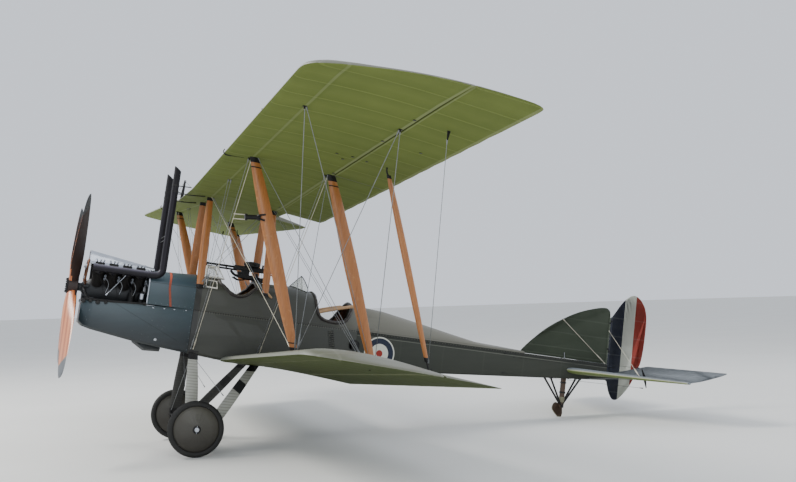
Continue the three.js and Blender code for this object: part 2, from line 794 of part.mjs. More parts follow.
// Front flying and landing wires of each side
const WIRE = {
  radius: 5,
  sides: 6,
  wingX: INTERPLANE_X - 60,
  offSpar: 22, // flying wires ahead of the struts and landing wires behind them
  bodyFoot: [BODY_HALF + 20, -355, 20],
  cabaneX: CABANE.highX + 45,
};
for (const side of [1, -1]) {
  const hand = side > 0 ? "port" : "starboard";
  const [footX, footY, footZ] = WIRE.bodyFoot;
  const wingTop = onWing(UPPER, side * WIRE.wingX, FRONT_SPAR - WIRE.offSpar, -30);
  const flying = bar([side * footX, footY, footZ], wingTop.toArray(), WIRE.radius, WIRE.sides);
  piece(`flying_wire_${hand}`, flying, "steelWire");
  const wingLow = onWing(LOWER, side * WIRE.wingX, FRONT_SPAR + WIRE.offSpar, 150);
  const cabaneTop = onWing(UPPER, side * WIRE.cabaneX, FRONT_SPAR + WIRE.offSpar, -40);
  const landing = bar(cabaneTop.toArray(), wingLow.toArray(), WIRE.radius, WIRE.sides);
  piece(`landing_wire_${hand}`, landing, "steelWire");
}

// Undercarriage: two faired legs each side, down to a long block that holds the axle
const AXLE_SIDES = 16;
const FOOT = { x: 758, halfWidth: 24, low: -935, high: -830, front: -338, rear: -12 };
const LEG_TOP_X = 336;
const LEGS = [
  // [y, z] of the leg's top, on the body's underside, and y of its foot
  [-312, -20, -280],
  [463, -95, -65],
];
const axleBar = (from, to, radius) =>
  bar([from, WHEEL.y, WHEEL.z], [to, WHEEL.y, WHEEL.z], radius, AXLE_SIDES);
const bodyStations = [BAY_REAR_Y, FIREWALL_Y, ...tubMiddle, COCKPIT_END_Y];
const bodyClear = hull(bodyStations, -FIT_GAP, () => OPEN_TOP);
for (const side of [1, -1]) {
  const hand = side > 0 ? "port" : "starboard";
  const footX = side * FOOT.x;
  const legs = LEGS.map(([y, z, footY]) =>
    strut([side * LEG_TOP_X, y, z], [footX, footY, WHEEL.z], LEG_SHAPE),
  );
  const block = box(
    [footX - FOOT.halfWidth, FOOT.front, FOOT.low],
    [footX + FOOT.halfWidth, FOOT.rear, FOOT.high],
  );
  const bore = axleBar(0, side * AXLE_HALF, AXLE_RADIUS + FIT_GAP);
  piece(`gear_legs_${hand}`, cut(join(...legs, block), bore, bodyClear), "legs");
}
piece("axle", axleBar(-AXLE_HALF, AXLE_HALF, AXLE_RADIUS), "blackIron");

// Ring about an x axis from a profile of [radius, x]
function turned(profile, sides) {
  const outline = profile.map(([r, x]) => new THREE.Vector2(r, x));
  outline.push(outline[0].clone());
  const geometry = new THREE.LatheGeometry(outline, sides);
  geometry.rotateZ(-Math.PI / 2);
  return outward(mergeVertices(stripped(geometry), 1e-3));
}

function stripped(geometry) {
  geometry.deleteAttribute("normal");
  geometry.deleteAttribute("uv");
  return geometry;
}

// Wheels: a tyre on a spoked rim under cone-shaped fabric covers
const WHEEL_SIDES = 48;
const rimRadius = WHEEL.radius - WHEEL.tyre;
const tyreMiddle = WHEEL.radius - WHEEL.tyreHalfWidth;
const BEAD_HALF = 26;
const TYRE_ARC = { start: 126, step: 31.5, steps: 8 }; // degrees round the tyre's section
const tyreProfile = [[rimRadius, -BEAD_HALF], [rimRadius, BEAD_HALF]];
for (let i = 0; i <= TYRE_ARC.steps; i++) {
  const angle = rad(TYRE_ARC.start - i * TYRE_ARC.step);
  const r = tyreMiddle + WHEEL.tyreHalfWidth * Math.cos(angle);
  tyreProfile.push([Math.max(r, rimRadius), WHEEL.tyreHalfWidth * Math.sin(angle)]);
}
const AXLE_PLAY = 2;
const COVER_SIDE = [
  // [radius, half width]
  [AXLE_RADIUS + AXLE_PLAY, 86],
  [46, 86],
  [60, 76],
  [rimRadius - FIT_GAP, 22],
];
const coverProfile = [
  ...COVER_SIDE,
  ...COVER_SIDE.map(([r, half]) => [r, -half]).reverse(),
];
for (const side of [1, -1]) {
  const hand = side > 0 ? "port" : "starboard";
  for (const [name, profile, finish] of [
    [`tyre_${hand}`, tyreProfile, "rubber"],
    [`wheel_cover_${hand}`, coverProfile, "wheelCover"],
  ]) {
    const geometry = turned(profile, WHEEL_SIDES);
    geometry.rotateX(pitch);
    geometry.translate(side * WHEEL.x, WHEEL.y, WHEEL.z);
    piece(name, geometry, finish);
  }
}

// Tailplane: two flat halves with swept leading edges, against the body's sides
const TAIL_HALF_THICK = 15;
const TAIL_TIP_X = 1985;
const ELEVATOR_NOSE = 15; // radius of the elevators' leading spar
const ELEVATOR_SLOT = 8;
function plate(outline, low, high) {
  const ringAt = (z) => outline.map(([x, y]) => point(x, y, z));
  return loft([ringAt(low), ringAt(high)]);
}
const tailRearY = ELEVATOR_HINGE.y - ELEVATOR_NOSE - ELEVATOR_SLOT;
const TAIL_PLAN = [
  // [x, y]
  [0, 4985],
  [90, 5016],
  [1960, 5650],
  [TAIL_TIP_X, tailRearY],
  [0, tailRearY],
];
const tailBlank = plate(
  TAIL_PLAN,
  ELEVATOR_HINGE.z - TAIL_HALF_THICK,
  ELEVATOR_HINGE.z + TAIL_HALF_THICK,
);
const rearBodyWide = hull([COCKPIT_END_Y, ...rearSections], -FIT_GAP, () => OPEN_TOP);
const tailHalf = cut(tailBlank, rearBodyWide);
piece("tailplane_port", tailHalf, "doped");
piece("tailplane_starboard", mirrored(tailHalf), "doped");

// Elevators: two halves on one tube, notched inboard for the rudder, parked nose up
const ELEVATOR_ROOT_X = 62;
const ELEVATOR_HALF_THICK = 12;
const ELEVATOR_PLAN = [
  // [x, aft of the hinge]
  [ELEVATOR_ROOT_X, 0],
  [TAIL_TIP_X, 0],
  [2075, 110],
  [2130, 330],
  [2126, 470],
  [2080, 515],
  [400, 507],
  [360, 480],
];
const elevatorSpar = bar([ELEVATOR_ROOT_X, 0, 0], [TAIL_TIP_X, 0, 0], ELEVATOR_NOSE, 10);
const elevatorPanel = plate(ELEVATOR_PLAN, -ELEVATOR_HALF_THICK, ELEVATOR_HALF_THICK);
const elevatorHalf = join(elevatorPanel, elevatorSpar);
const elevatorTube = bar([-100, 0, 0], [100, 0, 0], TUBE.radius, 10);
const elevators = join(elevatorHalf, mirrored(elevatorHalf), elevatorTube);
elevators.rotateX(rad(ELEVATOR_UP));
elevators.translate(0, ELEVATOR_HINGE.y, ELEVATOR_HINGE.z);
piece("elevators", elevators, "doped");

// Fin: a flat curved plate on the rear body
const FIN_HALF = 14;
const FIN_OUTLINE = [
  // [y, z]
  [4290, 490],
  [4300, 520],
  [4445, 677],
  [4668, 879],
  [4934, 1036],
  [5192, 1170],
  [5442, 1246],
  [5620, 1286],
  [5690, 1262],
  [5714, 1180],
  [STERN_Y, 1060],
  [STERN_Y, 440],
];
const rearDeckClear = decking([COCKPIT_END_Y, ...rearDeckSections], DECK_ROOT, -FIT_GAP);
const rearBodyLow = hull(
  [COCKPIT_END_Y, ...rearSections.slice(0, -1), STERN_Y + PAST],
  -FIT_GAP,
  (y) => rearTop(y) + FIT_GAP,
);
const fin = cut(sidePrism(FIN_OUTLINE, -FIN_HALF, FIN_HALF), rearBodyLow, rearDeckClear);
piece("fin", fin, "doped");

// Rudder: a tall balanced plate behind the sternpost
const RUDDER = { half: 13, panelHalf: 11, low: 225, high: 1165 };
const RUDDER_OUTLINE = [
  // [aft of the hinge, z]
  [0, RUDDER.low],
  [0, RUDDER.high],
  [205, 1440],
  [290, 1508],
  [355, 1532],
  [420, 1512],
  [490, 1462],
  [560, 1360],
  [598, 1215],
  [600, 1000],
  [590, 770],
  [562, 560],
  [520, 452],
  [420, 226],
  [305, 66],
  [215, -22],
  [170, -34],
  [118, -22],
  [60, 55],
  [18, 165],
];
const rudderPanel = sidePrism(
  RUDDER_OUTLINE.map(([aft, z]) => [RUDDER_HINGE_Y + aft, z]),
  -RUDDER.panelHalf,
  RUDDER.panelHalf,
);
const rudderPost = bar(
  [0, RUDDER_HINGE_Y, RUDDER.low],
  [0, RUDDER_HINGE_Y, RUDDER.high],
  RUDDER.half,
  10,
);
piece("rudder", join(rudderPanel, rudderPost), "rudderPaint");

// Tail skid: an ash post and shoe carried by four steel struts under the body
const groundZ = (y) => (y * Math.sin(pitch) - LIFT) / Math.cos(pitch);
const footZ = groundZ(SKID_FOOT_Y);
const SKID = { half: 22, pylonY: 5030, pylonRise: 155, postHalf: 36, strutRadius: 11, topZ: 260 };
const SHOE_UPPER = [
  // [y, height over the foot]
  [5058, 70],
  [5050, 165],
  [4935, 205],
  [4885, 150],
  [4885, 108],
];
const SKID_STRUTS = [
  // [x, y] of a strut's top
  [96, 4768],
  [58, 5262],
];
const shoe = sidePrism(
  [
    [SKID_FOOT_Y - 30, groundZ(SKID_FOOT_Y - 30)],
    [SKID_FOOT_Y + 30, groundZ(SKID_FOOT_Y + 30)],
    ...SHOE_UPPER.map(([y, rise]) => [y, footZ + rise]),
  ],
  -SKID.half,
  SKID.half,
);
const pylonFoot = [0, SKID.pylonY, footZ + SKID.pylonRise];
const skidStruts = SKID_STRUTS.flatMap(([x, y]) =>
  [1, -1].map((side) => bar([side * x, y, SKID.topZ], pylonFoot, SKID.strutRadius, 6)),
);
const skidPost = box(
  [-SKID.half, SKID.pylonY - SKID.postHalf, footZ + 100],
  [SKID.half, SKID.pylonY + SKID.postHalf, SKID.topZ],
);
piece("tail_skid", cut(join(shoe, skidPost, ...skidStruts), rearBodyWide), "spruce");

// Airscrew: four laminated blades, each a loft of thin twisted sections, on a square hub
const BLADE = [
  // [radius, chord, thickness, twist in degrees]
  [70, 120, 96, 62],
  [260, 150, 62, 54],
  [560, 214, 38, 36],
  [940, 232, 26, 25],
  [1280, 196, 18, 19],
  [1400, 140, 14, 17],
  [PROPELLER_RADIUS, 90, 11, 17],
];
const BLADE_ANGLES = [45.8, 135.8, 225.8, 315.8];
const BLADE_SECTION = [
  // [share of the chord, share of the thickness]
  [-0.5, 0],
  [-0.3, 0.42],
  [0.05, 0.5],
  [0.35, 0.3],
  [0.5, 0],
  [0.2, -0.38],
  [-0.25, -0.4],
];
function blade(angle) {
  const rings = BLADE.map(([radius, chord, thickness, twist]) =>
    BLADE_SECTION.map(([along, up]) => {
      const a = rad(twist);
      const across = along * chord * Math.cos(a) - up * thickness * Math.sin(a);
      const fore = along * chord * Math.sin(a) + up * thickness * Math.cos(a);
      return point(across, -fore, radius);
    }),
  );
  return loft(rings).rotateY(rad(angle));
}
const hubBody = bar([0, HUB.halfDepth, 0], [0, -HUB.halfDepth, 0], HUB.radius, 20);
const propeller = join(hubBody, ...BLADE_ANGLES.map(blade));
propeller.translate(0, PROPELLER_Y, THRUST_Z);
piece("propeller", propeller, "spruce");
// Bolted plate and nut on the front of the hub: distances ahead of the hub's middle
const BOSS = {
  back: HUB.halfDepth + FIT_GAP,
  plateFront: 68,
  nutFront: 80,
  plateRadius: 96,
  nutRadius: 34,
};
const bossBar = (back, front, radius, sides) =>
  bar([0, PROPELLER_Y - back, THRUST_Z], [0, PROPELLER_Y - front, THRUST_Z], radius, sides);
const bossPlate = bossBar(BOSS.back, BOSS.plateFront, BOSS.plateRadius, 20);
const bossNut = bossBar(BOSS.back + SKIN, BOSS.nutFront, BOSS.nutRadius, 12);
piece("propeller_boss", join(bossPlate, bossNut), "aluminium");

// Park the airframe: nose up, lifted on to its wheels, its length centred on the frame
airframe.rotation.x = -pitch;
airframe.position.set(0, -LENGTH_CENTRE, LIFT);
object.add(airframe);

export default object;
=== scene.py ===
# A two-seat biplane of wood, wire and doped fabric, parked on its wheels and tail skid.
# Pieces are drawn in airframe axes, in metres: x to port, y aft, z up, thrust line level.
from math import atan2, cos, pi, radians, sin, tan

import bmesh
import bpy
from mathutils import Matrix, Vector
from mathutils.geometry import interpolate_bezier


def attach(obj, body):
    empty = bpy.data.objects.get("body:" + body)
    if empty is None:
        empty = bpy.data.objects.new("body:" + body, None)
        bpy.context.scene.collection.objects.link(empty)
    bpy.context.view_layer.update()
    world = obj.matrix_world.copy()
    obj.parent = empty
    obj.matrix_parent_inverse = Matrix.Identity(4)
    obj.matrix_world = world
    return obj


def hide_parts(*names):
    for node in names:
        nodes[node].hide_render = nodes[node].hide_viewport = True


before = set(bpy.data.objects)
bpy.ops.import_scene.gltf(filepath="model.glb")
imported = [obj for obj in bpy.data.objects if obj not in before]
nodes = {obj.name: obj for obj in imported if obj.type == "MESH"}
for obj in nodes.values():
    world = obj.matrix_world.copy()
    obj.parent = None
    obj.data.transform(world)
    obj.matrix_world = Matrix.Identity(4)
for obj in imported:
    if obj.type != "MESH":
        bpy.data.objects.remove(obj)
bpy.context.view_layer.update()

# The view is the photograph's: from the port side, level with the engine and 1.7 m up.
# A plain pale floor lies under a pale sky; one broad lamp stands high ahead of the nose,
# and weaker ones light the near side and the tail.
yaw, rise, roll = radians(69.4978), radians(3.5687), radians(-1.7715)
ahead = Vector((-sin(yaw) * cos(rise), cos(yaw) * cos(rise), sin(rise)))
right = Vector((cos(yaw), sin(yaw), 0))
up = right.cross(ahead)
level = cos(roll) * right + sin(roll) * up
upright = cos(roll) * up - sin(roll) * right
camera = bpy.data.cameras.new("camera")
camera.sensor_width = 36
camera.lens = 43.055
camera.clip_end = 600
standpoint = bpy.data.objects.new("camera", camera)
stand = Matrix((level, upright, -ahead)).transposed().to_4x4()
stand.translation = (12.1183, -4.3059, 1.7355)
standpoint.matrix_world = stand
bpy.context.collection.objects.link(standpoint)
bpy.context.scene.camera = standpoint


def lamp(name, place, aim, size, power, colour):
    light = bpy.data.lights.new(name, "AREA")
    light.size, light.energy, light.color = size, power, colour
    holder = bpy.data.objects.new(name, light)
    holder.matrix_world = Matrix.Translation(place) @ (
        Vector(aim) - Vector(place)
    ).to_track_quat("-Z", "Y").to_matrix().to_4x4()
    bpy.context.collection.objects.link(holder)


lamp("sky_lamp", (-5, -13, 15), (0, 0, 1.5), 7, 3600, (1, .97, .92))
lamp("near_lamp", (15, -3, 7), (0, 0, 1.5), 9, 700, (.95, .97, 1))
lamp("tail_lamp", (2, 15, 9), (0, 2, 1), 7, 500, (.95, .97, 1))
sky = bpy.data.worlds.new("sky")
bpy.context.scene.world = sky
sky.use_nodes = True
sky.node_tree.nodes["Background"].inputs["Color"].default_value = (.86, .91, 1, 1)
sky.node_tree.nodes["Background"].inputs["Strength"].default_value = 1.05


class Tint:
    """One socket of a material. Sums on it add Math nodes, and node() adds any other."""

    def __init__(self, socket):
        self.socket = socket

    def node(self, kind, settings=None, inputs=None, out=0):
        made = self.socket.id_data.nodes.new(kind)
        for key, value in (settings or {}).items():
            if key == "stops":
                ramp = made.color_ramp.elements
                ramp.remove(ramp[1])
                ramp[0].position, ramp[0].color = value[0]
                for position, colour in value[1:]:
                    ramp.new(position).color = colour
            else:
                setattr(made, key, value)
        for key, value in (inputs or {}).items():
            if isinstance(value, Tint):
                self.socket.id_data.links.new(value.socket, made.inputs[key])
            else:
                made.inputs[key].default_value = value
        return Tint(made.outputs[out])

    def maths(self, operation, first, second=0.0):
        return self.node("ShaderNodeMath", {"operation": operation}, {0: first, 1: second})

    def fold(self, reach): return self.maths("PINGPONG", self, reach)
    def sine(self): return self.maths("SINE", self)
    def __add__(self, other): return self.maths("ADD", self, other)
    def __radd__(self, other): return self.maths("ADD", other, self)
    def __sub__(self, other): return self.maths("SUBTRACT", self, other)
    def __rsub__(self, other): return self.maths("SUBTRACT", other, self)
    def __mul__(self, other): return self.maths("MULTIPLY", self, other)
    def __rmul__(self, other): return self.maths("MULTIPLY", other, self)
    def __pow__(self, other): return self.maths("POWER", self, other)
    def __abs__(self): return self.maths("ABSOLUTE", self)
    def __gt__(self, other): return self.maths("GREATER_THAN", self, other)
    def __lt__(self, other): return self.maths("LESS_THAN", self, other)


def hue(code):
    """A paint's linear colour from its six-figure screen code."""
    parts = [int(code[i:i + 2], 16) / 255 for i in (0, 2, 4)]
    return (*[p / 12.92 if p <= .04045 else ((p + .055) / 1.055) ** 2.4 for p in parts], 1)


def material(name, colour, roughness=.6, metallic=0.0, **set_on_shader):
    """A new material, with its object coordinates as a Tint to build its pattern on."""
    made = bpy.data.materials.new(name)
    made.use_nodes = True
    shader = made.node_tree.nodes["Principled BSDF"]
    shader.inputs["Base Color"].default_value = hue(colour)
    shader.inputs["Roughness"].default_value = roughness
    shader.inputs["Metallic"].default_value = metallic
    for key, value in set_on_shader.items():
        shader.inputs[key.replace("_", " ")].default_value = value
    made.diffuse_color = hue(colour)
    return made, Tint(made.node_tree.nodes.new("ShaderNodeTexCoord").outputs["Object"])


def dress(made, sockets, relief=None, depth=.001):
    """Links patterns to the shader's sockets, and a height pattern as a bump."""
    shader = made.node_tree.nodes["Principled BSDF"]
    for key, tint in sockets.items():
        made.node_tree.links.new(tint.socket, shader.inputs[key])
    if relief is not None:
        bump = relief.node("ShaderNodeBump", {},
                           {"Height": relief, "Distance": depth, "Strength": .9})
        made.node_tree.links.new(bump.socket, shader.inputs["Normal"])


def mottle(place, scale, detail=3, rough=.55, stretch=(1, 1, 1)):
    """Soft noise from 0 to 1, stretched along an axis where the grain runs."""
    if stretch != (1, 1, 1):
        place = place.node("ShaderNodeMapping", {}, {"Vector": place, "Scale": stretch})
    return place.node("ShaderNodeTexNoise", {}, {
        "Vector": place, "Scale": scale, "Detail": detail, "Roughness": rough})


def two_tone(name, shown, low, high, broad, fine=None, depth=.0003, **on_shader):
    """A finish mottled between two colours; broad and fine noise are each a scale and a detail."""
    made, spot = material(name, shown, **on_shader)
    dress(made, {"Base Color": mixed(mottle(spot, *broad), hue(low), hue(high))},
          mottle(spot, *fine) if fine else None, depth)
    return made


def step(value, edge, soft=.001):
    """0 below an edge and 1 above it, with a short ramp between."""
    return value.node("ShaderNodeMapRange", {}, {
        "Value": value, "From Min": edge - soft, "From Max": edge + soft})


def strip(value, low, high, soft=.001):
    """1 between two edges and 0 outside them."""
    return step(value, low, soft) * (1 - step(value, high, soft))


def near(distance, reach, soft=.001):
    """1 where a distance, which is never below 0, is within reach."""
    return 1 - step(distance, reach, soft)


def mixed(amount, first, second):
    """The first colour, turning into the second as amount goes from 0 to 1."""
    return amount.node("ShaderNodeMix", {"data_type": "RGBA"}, {0: amount, 6: first, 7: second}, 2)


# The floor is a plain pale sheet, with only a breath of unevenness.
floor_paint, spot = material("floor_paint", "dcdcd8", .85)
dress(floor_paint, {"Base Color": mixed(mottle(spot, .4), hue("d7d7d3"), hue("e1e1dd"))})
bm = bmesh.new()
bmesh.ops.create_circle(bm, cap_ends=True, segments=96, radius=220)
floor_mesh = bpy.data.meshes.new("floor")
bm.to_mesh(floor_mesh)
bm.free()
floor_mesh.materials.append(floor_paint)
floor = bpy.data.objects.new("floor", floor_mesh)
bpy.context.collection.objects.link(floor)

# Body: a spruce box girder, plywood round the cockpits and doped linen over the rest, with
# a ply decking on top. The linen sags between the frames and its edges are taped and laced.
# The whole airframe stands nose up on wheels and skid, so each piece is drawn level first.
PITCH = radians(9.16)
LIFT = .325 + .878 * cos(PITCH) - .237 * sin(PITCH)  # the wheel's radius, and the axle's place
PARKED = Matrix.Translation((0, -2.293, LIFT)) @ Matrix.Rotation(-PITCH, 4, "X")
TO_AIRFRAME = PARKED.inverted()


HANDS = (("port", 1), ("starboard", -1))


def fitted(name, bm, finishes, body="airframe", stands_for=(), side=1, edge=35):
    """Parks a drawn piece with the airframe, with its finishes, its body and its CAD nodes."""
    if side < 0:
        bmesh.ops.scale(bm, vec=(-1, 1, 1), verts=bm.verts)
    bmesh.ops.recalc_face_normals(bm, faces=bm.faces)
    bm.transform(PARKED)
    mesh = bpy.data.meshes.new(name)
    bm.to_mesh(mesh)
    bm.free()
    mesh.shade_smooth()
    mesh.set_sharp_from_angle(angle=radians(edge))
    for finish in finishes:
        mesh.materials.append(finish)
    piece = bpy.data.objects.new(name, mesh)
    bpy.context.collection.objects.link(piece)
    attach(piece, body)
    if stands_for:
        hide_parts(*stands_for)
    return piece


def from_node(node):
    """A merged copy of a CAD node's mesh, level again, without its cut-up flat faces."""
    bm = bmesh.new()
    bm.from_mesh(nodes[node].data)
    bmesh.ops.remove_doubles(bm, verts=bm.verts, dist=2e-5)
    bm.transform(TO_AIRFRAME)
    bmesh.ops.dissolve_limit(bm, angle_limit=radians(.6), verts=bm.verts, edges=bm.edges)
    return bm


def soften(bm, width, angle=40, segments=2):
    """Rounds the edges of a mesh that are sharper than an angle."""
    bm.normal_update()
    hard = [e for e in bm.edges if e.is_manifold and e.calc_face_angle(0) > radians(angle)]
    bmesh.ops.bevel(bm, geom=hard, offset=width, offset_type="OFFSET", affect="EDGES",
                    segments=segments, profile=.5, material=-1, clamp_overlap=True)


def level_place(spot):
    """Object coordinates turned back into airframe axes."""
    shift = Matrix.Rotation(PITCH, 3, "X") @ -PARKED.translation
    return spot.node("ShaderNodeMapping", {}, {
        "Vector": spot, "Rotation": (PITCH, 0, 0), "Location": tuple(shift)})


def axes(place):
    """The x, y and z of a place, each as a Tint."""
    split = place.node("ShaderNodeSeparateXYZ", {}, {0: place}).socket.node
    return [Tint(out) for out in split.outputs]


def level_axes(spot):
    place = level_place(spot)
    return place, *axes(place)


def distance(place, parts, centre):
    """How far the point made of three values is from a centre."""
    point = place.node("ShaderNodeCombineXYZ", {}, dict(enumerate(parts)))
    return place.node("ShaderNodeVectorMath", {"operation": "DISTANCE"}, {0: point, 1: centre}, 1)


def rings_painted(off, colours, paint, soft):
    """Rings of a mark over a paint, each from its outer radius inwards."""
    for radius, tone in colours:
        paint = mixed(1 - step(off, radius, soft), paint, hue(tone))
    return paint


def weave(spot):
    """The fine over-and-under of linen, under dope."""
    made = [spot.node("ShaderNodeTexWave", {"wave_type": "BANDS", "bands_direction": way}, {
        "Vector": spot, "Scale": 190, "Distortion": .6, "Detail": 1}, 1) for way in "XYZ"]
    return made[0] * .34 + made[1] * .33 + made[2] * .33


LINEN_FROM, BAY = 1.735, .3175  # where the linen starts, and half of a frame's spacing
linen, spot = material("doped_linen", "43463c", .62, Specular_IOR_Level=.3)
place, x, y, z = level_axes(spot)
bays = (y - LINEN_FROM).fold(BAY) * (1 / BAY)
sag = (bays * (pi / 2)).sine()
top_edge = z - y * -.0036  # the linen's upper edge falls a little towards the tail
laced = strip(top_edge, .452, .508, .003)
eyelets = near(y.fold(.021), .0045, .0015) * strip(top_edge, .474, .484, .001)
tape = near((y - LINEN_FROM).fold(BAY), .011) * .35
stain = mottle(spot, 1.6, 5)
streak = mottle(spot, 6, 4, .6, (1, .25, 3))
cloth = mixed(stain, hue("262a25"), hue("34372f"))
cloth = mixed(streak * .3, cloth, hue("46473d"))
cloth = mixed(tape * .3, cloth, hue("4b4d43"))
cloth = mixed(laced * (.45 + mottle(spot, 18, 4) * .5), cloth, hue("161814"))
cloth = mixed(eyelets * .5, cloth, hue("6d6c5d"))
cloth = mixed(near(abs(top_edge - .437), .0028, .001) * .5, cloth, hue("84857a"))
# Darker towards the bottom, broken up by noise.
darker_low_down = step(.12 - z, 0, .2) * mottle(spot, 3, 4) * .5
cloth = mixed(darker_low_down, cloth, hue("1a1b17"))
# The wartime ring mark: white, blue, white and red, painted on each side of the rear body.
off = distance(place, (0.0, y, z), (0, 2.075, .231))
cloth = rings_painted(off, ((.216, "c9cabd"), (.199, "1c2436"), (.126, "c9cabd"), (.045, "8e2b22")),
                      cloth, .0012)
dress(linen, {"Base Color": cloth, "Roughness": .5 + stain * .25},
      sag * -.5 + tape * .12 + laced * .15 + eyelets * .2 + weave(spot) * .02
      + mottle(spot, 9, 2) * .05, .006)

ply, spot = material("painted_ply", "43463d", .5, Coat_Weight=.08)
place, x, y, z = level_axes(spot)
stain = mottle(spot, 1.3, 5)
paint = mixed(stain, hue("242723"), hue("32342b"))
paint = mixed(mottle(spot, 7, 4, .6, (1, .2, 4)) * .3, paint, hue("424339"))
joint = near(abs(z - .486), .008, .002) + strip(z, .512, .534, .002) * .2
nails = near(y.fold(.0155), .0052, .0014) * strip(z, .468, .504, .003)
paint = mixed(joint * .85, paint, hue("0d0e0c"))
paint = mixed(nails * .55, paint, hue("5b5a4d"))
# The near-black band at the tub's front edge, behind the cowl, is painted shade.
paint = mixed(strip(y, -.39, -.318, .004) * .8, paint, hue("0f110f"))
paint = mixed(step(.1 - z, 0, .2) * mottle(spot, 3, 4) * .5, paint, hue("191a16"))
dress(ply, {"Base Color": paint, "Roughness": .42 + stain * .25},
      mottle(spot, 2.2, 2) * .5 + nails * .12 - joint * .2 + mottle(spot, 60, 2) * .02, .004)

for node, finish, round_by in (("cockpit_tub", ply, .006), ("rear_fuselage", linen, .009)):
    bm = from_node(node)
    soften(bm, round_by, 30)
    fitted(node + "_skin", bm, [finish], stands_for=[node])

decking, spot = material("painted_decking", "54554b", .5, Coat_Weight=.1)
place, x, y, z = level_axes(spot)
stain = mottle(spot, 1.4, 5)
paint = mixed(stain, hue("2d2f2a"), hue("3b3c34"))
paint = mixed(mottle(spot, 8, 4, .6, (1, .3, 1)) * .35, paint, hue("46463c"))
# From the rear cockpit aft the decking is painted lighter: painted light on its upward-facing top.
paint = mixed(step(y, 1.62, .25) * .8, paint, hue("6d6b5f"))
# The near-black band just behind the cowl is painted shade.
paint = mixed(strip(y, -.39, -.31, .004) * .8, paint, hue("0f110f"))
seam = near(abs(y - LINEN_FROM), .004, .002) + near(abs(y - .6), .002)
seam = seam + strip(z, .50, .508, .002) * .6
paint = mixed(seam * .55, paint, hue("2a2b27"))
ribs = (y - LINEN_FROM).fold(.31) * (1 / .31)
dress(decking, {"Base Color": paint, "Roughness": .42 + stain * .22},
      mottle(spot, 2.5, 2) * .35 - seam * .3 - ribs * step(y, 1.74, .01) * .25
      + mottle(spot, 70, 2) * .02, .005)

for node in ("cockpit_decking", "rear_decking"):
    fitted(node + "_skin", from_node(node), [decking], stands_for=[node], edge=30)


def curve_through(points, steps, closed=False, even=False):
    """A smooth line through points, with a few steps from each to the next."""
    points = [Vector(p) for p in points]
    count = len(points)

    def handle(i, reach):
        if closed:
            run = points[(i + 1) % count] - points[i - 1]
        else:
            run = points[min(i + 1, count - 1)] - points[max(i - 1, 0)]
        return run / 6 if even else run.normalized() * reach / 3

    line = [points[0]]
    for i in range(count if closed else count - 1):
        start, end = points[i], points[(i + 1) % count]
        reach = (end - start).length
        line += interpolate_bezier(start, start + handle(i, reach),
                                   end - handle((i + 1) % count, reach), end, steps + 1)[1:]
    return line[:-1] if closed else line


def chained(bm, points, closed=True):
    """Vertices at points, with an edge from each to the next, and back where it is closed."""
    chain = [bm.verts.new(p) for p in points]
    for pair in zip(chain, chain[1:] + (chain[:1] if closed else [])):
        bm.edges.new(pair)
    return chain


def thicken(bm, thickness):
    """Gives an open sheet its thickness."""
    bmesh.ops.recalc_face_normals(bm, faces=bm.faces)
    bmesh.ops.solidify(bm, geom=bm.faces, thickness=thickness)


def plate(bm, points, thickness):
    """A flat plate on an outline."""
    face = bm.faces.new([bm.verts.new(p) for p in points])
    bmesh.ops.solidify(bm, geom=[face], thickness=thickness)


def join_rings(bm, rings, capped=True, looped=False):
    """Skins over rings of vertices in a row, and fills the two end ones."""
    loops = [list({e for v in ring for e in v.link_edges}) for ring in rings]
    for first, second in zip(loops, loops[1:] + (loops[:1] if looped else [])):
        bmesh.ops.bridge_loops(bm, edges=first + second)
    if capped and not looped:
        bmesh.ops.holes_fill(bm, edges=loops[0] + loops[-1])


def tube(bm, path, radius, sides=10, looped=False, capped=True, flat=1.0):
    """A round bar along a path; radius is one number, or one for each point."""
    path = [Vector(p) for p in path]
    count = len(path)
    radii = list(radius) if isinstance(radius, (list, tuple)) else [radius] * count
    rings, cross = [], None
    for i, (place, reach) in enumerate(zip(path, radii)):
        if looped:
            along = (path[(i + 1) % count] - path[i - 1]).normalized()
        else:
            along = (path[min(i + 1, count - 1)] - path[max(i - 1, 0)]).normalized()
        if cross is None:
            cross = Vector((0, 0, 1)).cross(along)
            cross = cross if cross.length > .05 else Vector((1, 0, 0))
        cross = (cross - cross.dot(along) * along).normalized()
        pose = Matrix((cross, along.cross(cross) * flat, along)).transposed().to_4x4()
        pose.translation = place
        rings.append(bmesh.ops.create_circle(
            bm, segments=sides, radius=reach, matrix=pose)["verts"])
    join_rings(bm, rings, capped, looped)


def rod(bm, start, end, radius, end_radius=None, sides=8):
    """A straight round bar from one point to another."""
    start, end = Vector(start), Vector(end)
    run = end - start
    pose = Matrix.Translation((start + end) / 2) @ run.to_track_quat("Z", "Y").to_matrix().to_4x4()
    return bmesh.ops.create_cone(bm, cap_ends=True, segments=sides, radius1=radius,
                                 depth=run.length, radius2=radius if end_radius is None
                                 else end_radius,
                                 matrix=pose)["verts"]


def block(bm, low, high):
    """A box between two corners."""
    low, high = Vector(low), Vector(high)
    pose = Matrix.Translation((low + high) / 2) @ Matrix.Diagonal((*(high - low), 1))
    return bmesh.ops.create_cube(bm, size=1, matrix=pose)["verts"]


# Lacing down each side of the rear body, where its linen joins the ply: short black bars in
# a row with a waxed cord zigzagged over them, and behind it a step hole with an iron rim.
black_iron, spot = material("black_iron", "1d1e20", .5, .55)
rub = mottle(spot, 14, 5, .65)
dress(black_iron, {"Base Color": mixed(rub ** 3, hue("151618"), hue("4a4743")),
                   "Roughness": .34 + rub * .3}, mottle(spot, 55, 3), .0006)
cord = two_tone("waxed_cord", "8b8874", "6f6c5b", "9a977f", (90, 2), roughness=.7)
HULL = [(1.0, .36, -.078), (1.735, .36, -.022), (3.9, .182, .113), (5.718, .03, .238)]


